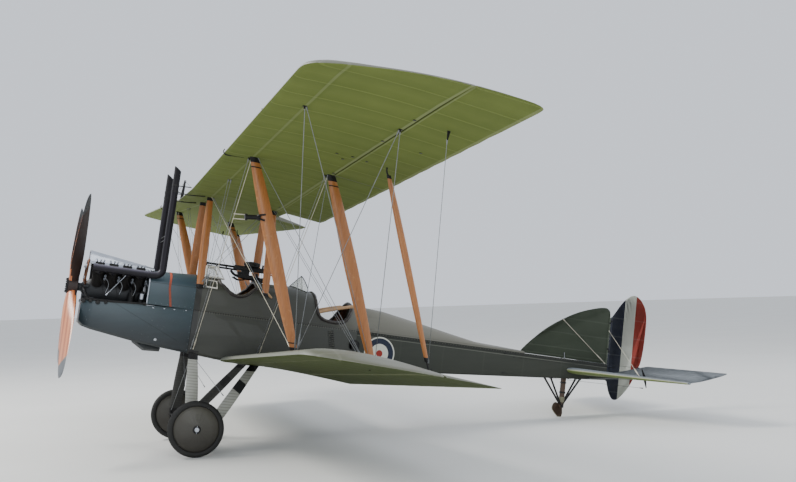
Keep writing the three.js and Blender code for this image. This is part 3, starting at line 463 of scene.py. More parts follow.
def along(table, y, column):
    """A column's value between two rows of a table that is in order of its first column."""
    for low, high in zip(table, table[1:]):
        if y <= high[0]:
            break
    return low[column] + (high[column] - low[column]) * (y - low[0]) / (high[0] - low[0])


for hand, side in HANDS:
    bm = bmesh.new()
    hooks = []
    for i in range(10):
        z = .44 - i * .027
        y = 1.375 + (.45 - z) * .2
        rod(bm, (.3625, y - .036, z - .007), (.3625, y + .036, z + .007), .0045, sides=6)
        hooks += [(.366, y - .03, z - .002), (.366, y + .03, z - .009)]
    fitted(f"lacing_hooks_{hand}", bm, [black_iron], side=side)
    bm = bmesh.new()
    tube(bm, hooks, .0016, 5)
    fitted(f"lacing_{hand}", bm, [cord], side=side)
    bm = bmesh.new()
    hole = curve_through([(.3605, 1.655, .345), (.3605, 1.72, .36), (.3605, 1.775, .33),
                          (.3605, 1.765, .25), (.3605, 1.70, .235), (.3605, 1.65, .26)], 4, True)
    tube(bm, [(along(HULL, p.y, 1) + .0015, p.y, p.z) for p in hole], .006, 6, looped=True, flat=.6)
    plate(bm, [(along(HULL, p.y, 1) + .0012, p.y, p.z) for p in hole], .001)
    fitted(f"step_hole_{hand}", bm, [black_iron], side=side)

# Nose: an enamelled sheet-metal tray under the engine and a cover over the bay behind it,
# with a bright channel round the bay's rear edge, clips, and a sump blister below.
enamel, spot = material("blue_grey_enamel", "33454d", .4, .1, Coat_Weight=.2, Coat_Roughness=.25)
place, x, y, z = level_axes(spot)
stain = mottle(spot, 2.3, 6, .6)
paint = mixed(stain, hue("24333a"), hue("344950"))
# Painted light and shade: the enamel is painted lighter on top and near-black low down.
paint = mixed(step(z, .70, .1) * .6, paint, hue("41545f"))
paint = mixed(step(.24 - z, 0, .18) * .8, paint, hue("14171a"))
oil = mottle(spot, 5, 5, .6, (1, .3, 2.5)) ** 2
paint = mixed(oil * step(.3 - z, 0, .3) * .8, paint, hue("131416"))
lines = near(abs(z - (.452 + (y + 1.685) * .0292) + .012), .0022) * .7
lines = lines + near(abs(y + .955), .0025) * step(z, .49)
lines = lines + near(abs(z - .758), .0022) * step(y, -.95)
lines = lines + near(abs(z - .452 + (y + 1.306) * .46), .0022) * strip(y, -1.3, -.5)
rows = [near(way.fold(.035), .0042, .0012) for way in (y, z)]
rivets = rows[0] * strip(z, .508, .516, .001) + rows[1] * strip(y, -.401, -.393, .001)
paint = mixed(lines * .75, paint, hue("0d1113"))
paint = mixed(rivets * .4, paint, hue("77838a"))
chips = step(mottle(spot, 26, 5, .7), .66, .02) * step(mottle(spot, 3, 2), .52, .05)
paint = mixed(chips * .4, paint, hue("7c8386"))
dress(enamel, {"Base Color": paint, "Roughness": .3 + stain * .25 + oil * .1},
      mottle(spot, 3.2, 2) * .4 - lines * .35 + rivets * .25, .003)
for node, round_by in (("nose_tray", .012), ("nose_top", .004), ("sump_blister", .016)):
    bm = from_node(node)
    soften(bm, round_by, 24, 3)
    fitted(node + "_sheet", bm, [enamel], stands_for=[node], edge=28)

bright, spot = material("bright_aluminium", "b7bcc4", .28, .9)
brushed = mottle(spot, 40, 3, .6, (1, .08, 1))
dull = mottle(spot, 6, 4)
dress(bright, {"Base Color": mixed(dull, hue("a4a9b2"), hue("cdd2da")),
               "Roughness": .2 + brushed * .18 + dull * .12}, brushed, .0003)
bm = bmesh.new()
for side in (1, -1):
    tube(bm, [(side * .360, -.945, .49), (side * .362, -.945, .76)], .016, 10, flat=.6)
    tube(bm, curve_through([(side * .361, -.945, .755), (side * .34, -.948, .83),
                            (side * .27, -.948, .885), (side * .16, -.948, .906)], 4), .009, 8)
    for y, z in ((-.86, .452), (-.73, .458), (-.61, .464), (-.47, .470)):
        block(bm, (side * .36 - .003, y - .009, z - .003), (side * .36 + .003, y + .009, z + .003))
        rod(bm, (side * .36, y, z), (side * .366, y, z), .004, sides=8)
    rod(bm, (side * .352, -.784, .082), (side * .364, -.784, .078), .017, sides=14)
fitted("cowl_channel_and_clips", bm, [bright])

strap, spot = material("worn_red_strap", "9c4a35", .75)
x, y, z = axes(level_place(spot))
worn = mixed(mottle(spot, 30, 5, .65), hue("6d2f24"), hue("a4533c"))
# The strap is painted brighter where it goes over the decking's top: a painted highlight.
dress(strap, {"Base Color": mixed(step(z, .79, .05) * .6, worn, hue("d4603f"))},
      mottle(spot, 160, 2), .0008)
DECK = [(-.955, .356, .740, .905), (-.385, .360, .760, .935), (0, .360, .740, .922),
        (.6, .360, .740, .944), (.88, .360, .740, .955), (1.16, .360, .680, .905),
        (1.735, .346, .520, .822), (2.15, .320, .520, .792), (2.77, .264, .506, .688),
        (3.06, .240, .503, .634), (3.54, .200, .499, .550), (4.29, .138, .494, .510)]


def on_deck(y, angle, out=0.0):
    """A point of the decking, by its place along the body and its angle round the arch."""
    half, shoulder, crown = (along(DECK, y, column) for column in (1, 2, 3))
    return Vector(((half + out) * cos(angle), y, shoulder + (crown + out - shoulder) * sin(angle)))


bm = bmesh.new()
for side in (1, -1):
    line = [Vector((.3625, -.662, .492)), Vector((.3625, -.680, .60)), Vector((.362, -.699, .70))]
    line += [on_deck(-.701 + .0026 * i, radians(5 + 12 * i), .003) for i in range(8)]
    for low, high in zip(line, line[1:]):
        first = [bm.verts.new((side * p.x, p.y + w, p.z)) for p in (low, high)
                 for w in (-.013, .013)]
        bm.faces.new((first[0], first[1], first[3], first[2]))
bmesh.ops.remove_doubles(bm, verts=bm.verts, dist=1e-4)
thicken(bm, .003)
fitted("cowl_straps", bm, [strap])

# Engine: an air-cooled vee of eight finned iron cylinders on an aluminium crankcase, with
# push rods, inlet pipes, magnetos and plugs, and rocker gear in notches of a bright shelf.
iron, spot = material("engine_iron", "17181a", .55, .4)
burnt = mottle(spot, 8, 4)
dress(iron, {"Base Color": mixed(burnt, hue("0f1012"), hue("2b2724")),
             "Roughness": .45 + burnt * .3}, mottle(spot, 80, 3), .0005)
# The cast aluminium is given near-black colours: painted shade of the engine bay.
cast = two_tone("cast_aluminium", "2c2e30", "17181a", "3c3e40", (5, 5), (140, 2), .0006,
                roughness=.55, metallic=.45)
TILT = radians(45)
FIRST, PITCHED, ROOT = -1.536, .1587, .545


def up_bank(side, i, reach, out=0.0, aft=0.0):
    """A point on a cylinder's axis, or beside it on the bank's outer face."""
    return Vector((side * (reach * sin(TILT) + out * cos(TILT)), FIRST + i * PITCHED + aft,
                   ROOT + reach * cos(TILT) - out * sin(TILT)))


bm = bmesh.new()
for side in (1, -1):
    for i in range(4):
        rod(bm, up_bank(side, i, .12), up_bank(side, i, .385), .05, sides=24)
        for fin in range(15):
            low = .165 + fin * .0142
            rod(bm, up_bank(side, i, low), up_bank(side, i, low + .0035), .066, .0645, 22)
        rod(bm, up_bank(side, i, .384), up_bank(side, i, .412), .062, .05, 22)
        rod(bm, up_bank(side, i, .13), up_bank(side, i, .145), .066, sides=20)
block(bm, (-.008, -1.625, .69), (.008, -.965, .912))
fitted("cylinders", bm, [iron], stands_for=["engine"])

bm = bmesh.new()
case = [(-1.652, .10, .484, .676), (-1.63, .13, .462, .70), (-1.60, .15, .452, .712),
        (-1.2, .15, .446, .712), (-.985, .15, .452, .712)]
rings = []
for y, half, low, high in case:
    outline = [(half, .5), (half * .9, .8), (half * .6, 1), (-half * .6, 1), (-half * .9, .8),
               (-half, .5), (-half * .9, .2), (-half * .6, 0), (half * .6, 0), (half * .9, .2)]
    rings.append(chained(bm, [(across, y, low + (high - low) * share)
                              for across, share in outline]))
join_rings(bm, rings)
soften(bm, .006)
rod(bm, (0, -1.70, .598), (0, -1.60, .598), .062, .1, 24)
rod(bm, (0, -1.736, .598), (0, -1.69, .598), .05, sides=24)
for angle in range(0, 360, 30):
    x, z = .094 * cos(radians(angle)), .598 + .094 * sin(radians(angle))
    rod(bm, (x, -1.672, z), (x, -1.65, z), .007, sides=6)
for side in (1, -1):
    rod(bm, (side * .085, -1.685, .50), (side * .085, -1.60, .50), .042, sides=18)
    rod(bm, (side * .115, -1.69, .615), (side * .115, -1.62, .615), .028, sides=14)
    for y in (-1.58, -1.0):
        block(bm, (side * .13, y - .022, .45), (side * .335, y + .022, .487))
fitted("crankcase", bm, [cast])

bm = bmesh.new()
for side in (1, -1):
    tube(bm, curve_through([(side * .33, -1.60, .45), (side * .338, -1.64, .50),
                            (side * .31, -1.67, .56), (side * .19, -1.69, .60)], 4), .016, 8)
    tube(bm, [(side * .342, -1.66, .462), (side * .352, -1.3, .470), (side * .354, -.955, .486)],
         .015, 8)
    rod(bm, (side * .355, -.985, .488), (side * .357, -.945, .490), .024, sides=12)
    for y, z, reach in ((-1.665, .438, .030), (-1.585, .446, .024), (-1.50, .438, .028),
                        (-1.41, .446, .022)):
        rod(bm, (side * .335, y, z), (side * .37, y, z), reach, reach * .8, 14)
        rod(bm, (side * .37, y, z), (side * .376, y, z), reach * .45, sides=6)
    for i in range(4):
        for aft in (-.028, .028):
            rod(bm, up_bank(side, i, .13, -.078, aft), up_bank(side, i, .40, -.07, aft), .0055,
                sides=6)
        tube(bm, curve_through([up_bank(side, i, .33, .064, .02), up_bank(side, i, .30, .11, .045),
                                up_bank(side, i, .22, .12, .07),
                                (side * .27, FIRST + i * PITCHED + .1, .52)],
                               4), .0035, 6)
    for y in (-1.12, -1.0):
        rod(bm, (side * .20, y, .49), (side * .20, y, .60), .045, sides=18)
        rod(bm, (side * .20, y, .60), (side * .20, y, .635), .03, .02, 14)
fitted("pipes_and_magnetos", bm, [black_iron])
copper, spot = material("aged_copper", "6b4632", .42, .7)
age = mottle(spot, 16, 4)
dress(copper, {"Base Color": mixed(age, hue("3a2a22"), hue("8a5a3e")), "Roughness": .34 + age * .2},
      age, .0003)
bm = bmesh.new()
for side in (1, -1):
    tube(bm, curve_through([(side * .15, -1.665, .64), (side * .225, -1.675, .70),
                            (side * .25, -1.67, .80), (side * .20, -1.665, .90),
                            (side * .16, -1.655, .94)], 5), .012, 8)
    for z in (.66, .925):
        rod(bm, (side * .165, -1.672, z), (side * .165, -1.655, z), .018, sides=6)
fitted("oil_pipes", bm, [copper])

bm = bmesh.new()
for side in (1, -1):
    for i in range(4):
        base = up_bank(side, i, .36, .05, .079)
        out = Vector((side * cos(TILT), 0, -sin(TILT)))
        rod(bm, base, base + out * .02, .014, sides=6)
        rod(bm, base + out * .02, base + out * .046, .0095, .006, 8)
        lower = base + Vector((side * -.012, -.006, -.034))
        rod(bm, lower, lower + out * .018, .0125, sides=6)
        rod(bm, lower + out * .018, lower + out * .038, .0085, .0055, 8)
        tube(bm, curve_through([base + out * .046, base + out * .05 + Vector((0, .03, -.03)),
                                base + out * .02 + Vector((0, .05, -.10)),
                                Vector((side * .28, base.y + .03, .56))],
                               4), .0016, 5)
        rod(bm, up_bank(side, i, .405, -.02), up_bank(side, i, .425, -.02), .022, sides=12)
    rod(bm, (side * .352, -1.42, .535), (side * .345, -1.23, .79), .003, sides=6)
    rod(bm, (side * .352, -1.424, .529), (side * .3515, -1.412, .546), .0105, sides=10)
    rod(bm, (side * .2, -1.70, .86), (side * .2, -1.665, .86), .016, sides=10)
    rod(bm, (side * .225, -1.69, .72), (side * .225, -1.665, .72), .013, sides=10)
    rod(bm, (side * .335, -1.01, .535), (side * .335, -1.01, .60), .022, .026, 14)
fitted("plugs_and_fittings", bm, [bright])

# Air scoop: a bright aluminium trunk that catches air over the engine and spreads it down
# between the banks, rolled at its lip, on a shelf notched for the rockers of each cylinder.
bm = bmesh.new()
stations = [(-1.65, .178, .918, 1.050), (-1.4, .172, .914, 1.014), (-1.1, .165, .910, .970),
            (-.955, .161, .907, .947), (-.89, .159, .906, .937)]
rings = []
for y, half, low, high in stations:
    half_ring = [(half, low), (half * .99, low + (high - low) * .5), (half * .94, high - .022),
                 (half * .86, high - .008), (half * .6, high), (half * .2, high + .002)]
    outline = [(x, y, z) for x, z in half_ring] + [(-x, y, z) for x, z in reversed(half_ring)]
    rings.append(chained(bm, outline, closed=False))
join_rings(bm, rings, capped=False)
for side in (1, -1):
    bm.faces.new([bm.verts.new((side * x, y, z)) for x, y, z in (
        (.178, -1.648, .920), (.16, -.965, .908), (.338, -.965, .868), (.338, -1.648, .884))])
thicken(bm, .003)
lip = [(x, -1.652, z) for x, z in ((.178, .92), (.176, .985), (.167, 1.028), (.153, 1.042),
                                   (.107, 1.05))]
lip += [(-x, y, z) for x, y, z in reversed(lip)]
tube(bm, lip, .005, 6)
fitted("air_scoop_sheet", bm, [bright], stands_for=["air_scoop"], edge=50)
bm = bmesh.new()
for side in (1, -1):
    for i in range(4):
        y = FIRST + i * PITCHED
        block(bm, (side * .214, y - .052, .886), (side * .30, y + .052, .912))
fitted("rocker_notches", bm, [iron])
bm = bmesh.new()
for side in (1, -1):
    for i in range(4):
        for aft, lean in ((-.034, -.01), (0, .006), (.034, .01)):
            y = FIRST + i * PITCHED + aft
            rod(bm, (side * .268, y, .905), (side * .285, y + lean, .938), .009, .007, 8)
            rod(bm, (side * .286, y + lean, .936), (side * .292, y + lean, .941), .012, sides=8)
fitted("rockers", bm, [bright])

# Exhausts: a blackened steel pipe along each bank, with a stub from every cylinder, swept
# up into a tall stack with a slanted mouth; the stacks are tied together and to the wing.
sooty, spot = material("sooty_steel", "1f2226", .5, .5)
place, x, y, z = level_axes(spot)
heat_and_highlight = mottle(spot, 4, 5)
soot = step(z, 1.95, .3)
steel_and_highlight = mixed(heat_and_highlight, hue("0e0d12"), hue("232028"))
# The pipe's top, ahead of the stack, is painted lighter: a painted highlight, mottled by the heat
# noise.
steel_and_highlight = mixed(step(z, .858, .012) * step(-.9 - y, 0, .06) * (.4 + heat_and_highlight * .5), steel_and_highlight,
                   hue("7b7785"))
steel_and_highlight = mixed(soot * .8, steel_and_highlight, hue("0c0c0d"))
dress(sooty, {"Base Color": steel_and_highlight, "Roughness": .36 + heat_and_highlight * .25 + soot * .2},
      mottle(spot, 40, 4), .0007)
STACK_X, PIPE_Z, STACK_Y, BEND = .372, .838, -.812, .092
for hand, side in HANDS:
    bm = bmesh.new()
    path = [Vector((STACK_X, y, PIPE_Z)) for y in (-1.606, -1.5, -1.35, -1.1, -.99)]
    for i in range(9):
        slope = i * pi / 16
        path.append(Vector((STACK_X, STACK_Y - BEND * (1 - sin(slope)),
                            PIPE_Z + BEND * (1 - cos(slope)))))
    path += [Vector((STACK_X, STACK_Y, z)) for z in (1.1, 1.5, 1.9, 2.3)]
    tube(bm, path, .0415, 24, capped=False)
    plane = Vector((0, .295, .4)).normalized()
    bmesh.ops.bisect_plane(bm, geom=[*bm.verts, *bm.edges, *bm.faces], plane_co=(0, STACK_Y, 2.163),
                           plane_no=plane, clear_outer=True)
    bmesh.ops.holes_fill(bm, edges=[e for e in bm.edges
                                    if e.is_boundary and e.verts[0].co.y < -1.5])
    thicken(bm, .003)
    for y in (-1.612, -.985):
        rod(bm, (STACK_X, y, PIPE_Z), (STACK_X, y + .02, PIPE_Z), .0475, sides=24)
    for i in range(4):
        start = up_bank(1, i, .375, .03)
        tube(bm, curve_through([start, start + Vector((.03, 0, .012)),
                                (STACK_X - .03, start.y + .01, PIPE_Z)],
                               4), .024, 12)
    fitted(f"exhaust_pipe_{hand}", bm, [sooty], stands_for=[f"exhaust_{hand}"], side=side)
bm = bmesh.new()
for z in (1.35, 1.297):
    rod(bm, (-STACK_X, STACK_Y - .01, z), (STACK_X, STACK_Y - .01, z), .0042)
for side in (1, -1):
    tube(bm, [(side * STACK_X, -.79, 1.957), (side * STACK_X, -.62, 1.965)], .006, 8)
    tube(bm, curve_through([(side * STACK_X, -.79, 1.883), (side * STACK_X, -.648, 1.869),
                            (side * .37, -.44, 1.885)],
                           4), .006, 8)
    for z in (1.883, 1.957):
        rod(bm, (side * STACK_X, STACK_Y, z - .009), (side * STACK_X, STACK_Y, z + .009), .0445,
            sides=20)
fitted("exhaust_ties", bm, [black_iron])

# Airscrew: four blades of laminated walnut under orange varnish, each thick at the root and
# thin and twisted towards a metal-sheathed tip, clamped between the hub's bolted plates.
HUB = Vector((0, -1.797, .598))
walnut, spot = material("laminated_walnut", "b5633a", .36, Coat_Weight=.22, Coat_Roughness=.3)
place, x, y, z = level_axes(spot)
reach = distance(place, (x, 0.0, z), (0, 0, HUB.z))
grain = mottle(place, 22, 4, .6, (1, 6, 1))
plies = (y + mottle(place, 2, 2) * .01).fold(.018) * (1 / .018)
wood = mixed(grain, hue("94441f"), hue("c8743f"))
wood = mixed(step(plies, .5, .12) * .55, wood, hue("e0915a"))
wood = mixed(near(plies, .07, .03) * .5, wood, hue("5a2815"))
sheath = step(reach, 1.205, .003)
stitch = near(abs(reach - 1.215), .004) * step(mottle(place, 120, 0), .5, .05)
wood = mixed(sheath, wood, mixed(mottle(place, 12, 4), hue("4c4f52"), hue("6f7376")))
wood = mixed(stitch, wood, hue("b98a4a"))
dress(walnut, {"Base Color": wood, "Metallic": sheath * .4, "Roughness": .25 + grain * .15
               + sheath * .12},
      grain * .3 + sheath * .5, .0006)
dark_walnut, spot = material("darkened_walnut", "241a16", .6)
place, x, y, z = level_axes(spot)
reach = distance(place, (x, 0.0, z), (0, 0, HUB.z))
grain = mottle(place, 22, 4, .6, (1, 6, 1))
wood = mixed(grain, hue("1c1412"), hue("38261f"))
dress(dark_walnut, {"Base Color": mixed(step(reach, 1.205, .003), wood, hue("3a3c3e")),
                    "Roughness": .5 + grain * .2}, grain, .0005)
BLADE = [  # radius, chord, thickness, twist in degrees
    (.06, .118, .098, 62), (.12, .124, .086, 59.5), (.2, .138, .07, 56.5), (.32, .162, .056, 50.5),
    (.46, .194, .044, 42), (.6, .217, .036, 34.5), (.8, .229, .029, 28.5), (1.0, .23, .0245, 24),
    (1.15, .216, .021, 21), (1.28, .192, .0175, 19), (1.36, .16, .015, 17.6), (1.4, .13, .013, 17),
    (1.42, .092, .011, 17), (1.428, .05, .008, 17)]
BLADE_SECTION = curve_through([(-.5, .02), (-.3, .42), (.05, .5), (.35, .3), (.5, .02), (.2, -.36),
                               (-.25, -.4)],
                              3, True)
bm = bmesh.new()
for angle in (45.8, 135.8, 225.8, 315.8):
    rings = []
    for radius, chord, thick, twist in BLADE:
        c, s = cos(radians(twist)), sin(radians(twist))
        rings.append(chained(bm, [
            (p.x * chord * c - p.y * thick * s, -(p.x * chord * s + p.y * thick * c), radius)
            for p in BLADE_SECTION]))
    join_rings(bm, rings)
    bmesh.ops.rotate(bm, verts=[v for ring in rings for v in ring], cent=(0, 0, 0),
                     matrix=Matrix.Rotation(radians(angle), 3, "Y"))
bmesh.ops.recalc_face_normals(bm, faces=bm.faces)
# Aft faces, the blade roots and the boss take the darker walnut.
for face in bm.faces:
    face.material_index = 1 if face.normal.y > .05 or face.calc_center_median().length < .16 else 0
boss = rod(bm, (0, .054, 0), (0, -.054, 0), .117, sides=48)
for face in {f for v in boss for f in v.link_faces}:
    face.material_index = 1
bmesh.ops.translate(bm, vec=HUB, verts=bm.verts)
fitted("airscrew_blades", bm, [walnut, dark_walnut], "airscrew", ["propeller"], edge=40)
bm = bmesh.new()
for front, back, radius in ((-.055, -.068, .096), (-.068, -.074, .062), (.053, .058, .1)):
    rod(bm, HUB + Vector((0, back, 0)), HUB + Vector((0, front, 0)), radius, sides=40)
soften(bm, .003)
for i in range(8):
    spoke = Vector((sin(i * pi / 4 + .2), 0, cos(i * pi / 4 + .2))) * .079
    rod(bm, HUB + spoke + Vector((0, -.08, 0)), HUB + spoke + Vector((0, -.066, 0)), .011, sides=6)
    rod(bm, HUB + spoke + Vector((0, -.088, 0)), HUB + spoke + Vector((0, -.078, 0)), .006, sides=8)
rod(bm, HUB + Vector((0, -.083, 0)), HUB + Vector((0, -.07, 0)), .034, .03, 8)
fitted("airscrew_plate", bm, [black_iron], "airscrew", ["propeller_boss"])

# Undercarriage: two vees of streamlined ash legs bound with doped cord and a steel axle
# slung between them on rubber shock cord, with wire wheels under laced fabric cones.
wrap, spot = material("cord_bound_leg", "a9a99f", .6)
place, x, y, z = level_axes(spot)
turns = (z * 190).sine()
dirt = mottle(spot, 4, 5)
grey = mixed(dirt, hue("8f8f86"), hue("b9b9b0"))
grey = mixed(step(turns, .55, .35) * .4, grey, hue("55554e"))
# A near-black band across the rear legs is a painted shadow.
down = (.463 - y) * .553 + (-.095 - z) * .833
band = strip(down, .257, .397, .004) * step(y, -.1, .01)
grey = mixed(band, grey, hue("191a1b"))
grey = mixed(step(-.7 - z, 0, .12) * .5 * dirt, grey, hue("4b463a"))
# The starboard legs are painted near-black: painted shade.
grey = mixed(step(0 - x, 0) * .93, grey, hue("121314"))
dress(wrap, {"Base Color": grey, "Roughness": .5 + dirt * .2}, turns * .5
      + mottle(spot, 50, 3) * .3, .0014)
TEARDROP = curve_through([(-1, 0), (-.72, .72), (-.3, 1), (.3, .82), (.75, .38), (1, .05),
                          (1, -.05), (.75, -.38), (.3, -.82), (-.3, -1), (-.72, -.72)], 2, True)


def strut(bm, low, high, shape, first=0.0, last=1.0, count=12, grow=0.0):
    """A streamlined bar between two points; shape gives its chord and thickness on the way."""
    low, high = Vector(low), Vector(high)
    rings = []
    line = curve_through(shape, 6)
    for i in range(count + 1):
        share = first + (last - first) * i / count
        middle = low + (high - low) * share
        chord, thick = (along(line, share, column) / 2 + grow for column in (1, 2))
        rings.append(chained(bm, [(middle.x + p.y * thick, middle.y + p.x * chord, middle.z)
                                  for p in TEARDROP]))
    join_rings(bm, rings)


AXLE_Y, AXLE_Z, WHEEL_X = -.237, -.878, .884
LEG_SHAPE = [(0, .110, .040), (.5, .146, .046), (.88, .140, .046), (1, .116, .044)]
LEGS = [((.336, -.312, -.018), (.758, -.280, AXLE_Z)), ((.336, .463, -.093), (.758, -.065, AXLE_Z))]
for hand, side in HANDS:
    bm = bmesh.new()
    for top, foot in LEGS:
        strut(bm, top, foot, LEG_SHAPE, 0, .97, 16)
    fitted(f"undercarriage_legs_{hand}", bm, [wrap], stands_for=[f"gear_legs_{hand}"], side=side)
    bm = bmesh.new()
    for top, foot in LEGS:
        strut(bm, top, foot, LEG_SHAPE, 0, .10, 2, .0025)
        strut(bm, top, foot, LEG_SHAPE, .90, 1, 2, .002)
        rod(bm, (.30, top[1], top[2] - .03), (.372, top[1], top[2] - .03), .012, sides=10)
        block(bm, (.30, top[1] - .06, top[2]), (.366, top[1] + .06, top[2] + .016))
    shoe = block(bm, (.735, -.336, -.933), (.781, -.014, -.832))
    long_edges = {e for v in shoe for e in v.link_edges
                  if abs((e.verts[0].co - e.verts[1].co).x) > .02}
    bmesh.ops.bevel(bm, geom=list(long_edges), offset=.042, affect="EDGES", segments=6, profile=.5,
                    material=-1)
    for y in (-.312, -.155, -.04):
        rod(bm, (.728, y, AXLE_Z), (.788, y, AXLE_Z), .011, sides=8)
    for lap in range(6):
        reach = .055 + .004 * (lap % 2)
        across = .722 + lap * .0145 + (0 if lap < 3 else .012)
        ring = [(across, AXLE_Y + reach * sin(i * pi / 8), AXLE_Z + reach * cos(i * pi / 8) * 1.25)
                for i in range(16)]
        tube(bm, ring, .007, 6, looped=True)
    for y in (-.33, -.15):
        rod(bm, (0, y, AXLE_Z + .01), (.76, y, AXLE_Z + .01), .014, sides=12)
    fitted(f"undercarriage_fittings_{hand}", bm, [black_iron], side=side)
bm = bmesh.new()
rod(bm, (-.962, AXLE_Y, AXLE_Z), (.962, AXLE_Y, AXLE_Z), .025, sides=20)
fitted("axle_tube", bm, [black_iron], stands_for=["axle"])

rubber, spot = material("tyre_rubber", "161617", .7)
dusty = mottle(spot, 5, 5)
dress(rubber, {"Base Color": mixed(dusty ** 2, hue("0d0e0e"), hue("302f2b")), "Roughness": .6
               + dusty * .25},
      mottle(spot, 70, 3), .0006)
covers, spot = material("wheel_linen", "6a6c5e", .55, Coat_Weight=.08)
place, x, y, z = level_axes(spot)
spoke_angle = (z - AXLE_Z).maths("ARCTAN2", z - AXLE_Z, y - AXLE_Y)
reach = distance(place, (0.0, y, z), (0, AXLE_Y, AXLE_Z))
spokes = spoke_angle.fold(pi / 20) * (20 / pi)
dirt = mottle(spot, 5, 5)
faded = mixed(dirt, hue("3f3e38"), hue("57554d"))
faded = mixed(step(reach, .21, .05) * dirt * .7, faded, hue("37301f"))
faded = mixed(step(AXLE_Z + .03 - z, 0, .16) * (.45 + dirt * .5), faded, hue("1d1812"))
hem = strip(reach, .238, .244, .001)
faded = mixed(hem * .6, faded, hue("33342d"))
flap = near(abs(y - AXLE_Y), .03) * strip(z - AXLE_Z, .11, .17)
edge = flap - near(abs(y - AXLE_Y), .027) * strip(z - AXLE_Z, .113, .167)
faded = mixed(edge * .7, faded, hue("2e2f29"))
dress(covers, {"Base Color": faded, "Roughness": .45 + dirt * .25},
      spokes * step(reach, .08, .03) * .5 + weave(spot) * .03 - edge * .1, .0022)


def spun(bm, profile, steps, centre, axis=(1, 0, 0)):
    """Turns a profile of (distance along the axis, radius) round the axle line."""
    chain = [bm.verts.new(Vector(centre) + Vector((reach, 0, radius))) for reach, radius in profile]
    edges = [bm.edges.new(pair) for pair in zip(chain, chain[1:])]
    bmesh.ops.spin(bm, geom=chain + edges, cent=centre, axis=axis, angle=2 * pi, steps=steps,
                   use_merge=True)
    bmesh.ops.remove_doubles(bm, verts=bm.verts, dist=1e-6)


for hand, side in HANDS:
    body = f"wheel_{hand}"
    middle = Vector((WHEEL_X, AXLE_Y, AXLE_Z))
    bm = bmesh.new()
    tread = [(-.026, .261), (-.034, .268)]
    tread += [(-.038 * cos(radians(a)), .287 + .038 * sin(radians(a))) for a in range(-30, 80, 10)]
    for groove in (-.012, 0, .012):
        tread += [(groove - .0022, .3238), (groove, .3215), (groove + .0022, .3238)]
    tread += [(.038 * cos(radians(a)), .287 + .038 * sin(radians(a))) for a in range(70, -40, -10)]
    tread += [(.034, .268), (.026, .261), (-.026, .261)]
    spun(bm, tread, 72, middle)
    fitted(f"tyre_ring_{hand}", bm, [rubber], body, [f"tyre_{hand}"], side, 50)
    bm = bmesh.new()
    cone = [(-.022, .2606), (-.04, .236), (-.052, .17), (-.066, .09), (-.074, .052), (-.074, .0275),
            (.074, .0275), (.074, .052), (.066, .09), (.052, .17), (.04, .236), (.022, .2606),
            (-.022, .2606)]
    spun(bm, cone, 60, middle)
    fitted(f"wheel_linen_{hand}", bm, [covers], body, [f"wheel_cover_{hand}"], side, 30)
    bm = bmesh.new()
    cap = [(.0725, .048), (.078, .046), (.082, .040), (.082, .0265), (.0725, .0265), (.0725, .048)]
    spun(bm, cap, 32, middle)
    for i in range(6):
        a = i * pi / 3
        bolt = middle + Vector((.081, .034 * sin(a), .034 * cos(a)))
        rod(bm, bolt, bolt + Vector((.0045, 0, 0)), .004, sides=6)
    fitted(f"hub_cap_{hand}", bm, [black_iron], body, side=side)
    bm = bmesh.new()
    rod(bm, (.972, AXLE_Y, AXLE_Z), (.962, AXLE_Y, AXLE_Z), .024, .03, 16)
    rod(bm, (.964, AXLE_Y, AXLE_Z + .045), (.964, AXLE_Y, AXLE_Z - .045), .004, sides=6)
    fitted(f"axle_end_{hand}", bm, [bright], side=side)

# Wings: spruce spars and thin ribs under doped linen, which sags a little from rib to rib;
# below, a green-gold glow of light through it is painted in; tapes cover every rib and seam.
UPPER = (-.642, 1.896, .6, 3.24, 3.45)  # y, z, flat half, dihedral, incidence
LOWER = (.02, -.092, .36, 3.5, 3.6)
CHORD, RIB, SPAR_F, SPAR_R, HINGE, HINGE_Z = 1.7, .3717, .275, 1.092, 1.15, .052
NOSE_R, SLOT_R = .033, .041  # the aileron's rounded nose, and the hollow that it turns in
STRUT_X, AILERON_X = 2.8, 2.83
TOP_LINE = [tuple(p)
            for p in curve_through([(0, .012), (.012, .027), (.05, .044), (.13, .062), (.3, .075),
                                             (.5, .07), (.75, .043), (1, .004)], 6)]
LOW_LINE = [tuple(p)
            for p in curve_through([(0, .008), (.012, .001), (.05, 0), (.13, .006), (.3, .015),
                                             (.5, .018), (.75, .011), (1, 0)], 6)]
TIP = [  # span past the straight part, leading edge, trailing edge, thinning
    (0, 0, 1.7, 1), (.06, .004, 1.7, .96), (.12, .014, 1.7, .90), (.17, .037, 1.7, .84),
         (.22, .07, 1.7, .78),
    (.28, .14, 1.7, .69), (.34, .22, 1.7, .61), (.42, .365, 1.7, .52), (.50, .52, 1.7, .45),
    (.55, .64, 1.697, .41), (.59, .76, 1.69, .38), (.62, .88, 1.668, .34), (.645, 1.01, 1.63, .29),
    (.661, 1.13, 1.58, .23), (.67, 1.25, 1.51, .15)]


def on_wing(wing, x, aft, rise):
    """A point of a wing, by its span, its distance aft and its height over the chord line."""
    y, z, flat, dihedral, incidence = wing
    lean = radians(incidence)
    return Vector((x, y + aft * cos(lean) + rise * sin(lean),
                   z - aft * sin(lean) + rise * cos(lean)
                   + max(0, abs(x) - flat) * tan(radians(dihedral))))


def linen_height(line, aft, station):
    """How high the linen lies over the chord line, with its sag between the ribs."""
    x, front, rear, thin, sag = station
    share = min(max((aft - front) / (rear - front), 0), 1)
    drop = sag * sin(pi * share ** .8) * (-1 if line is TOP_LINE else .7)
    return along(line, share, 1) * (rear - front) * thin + drop


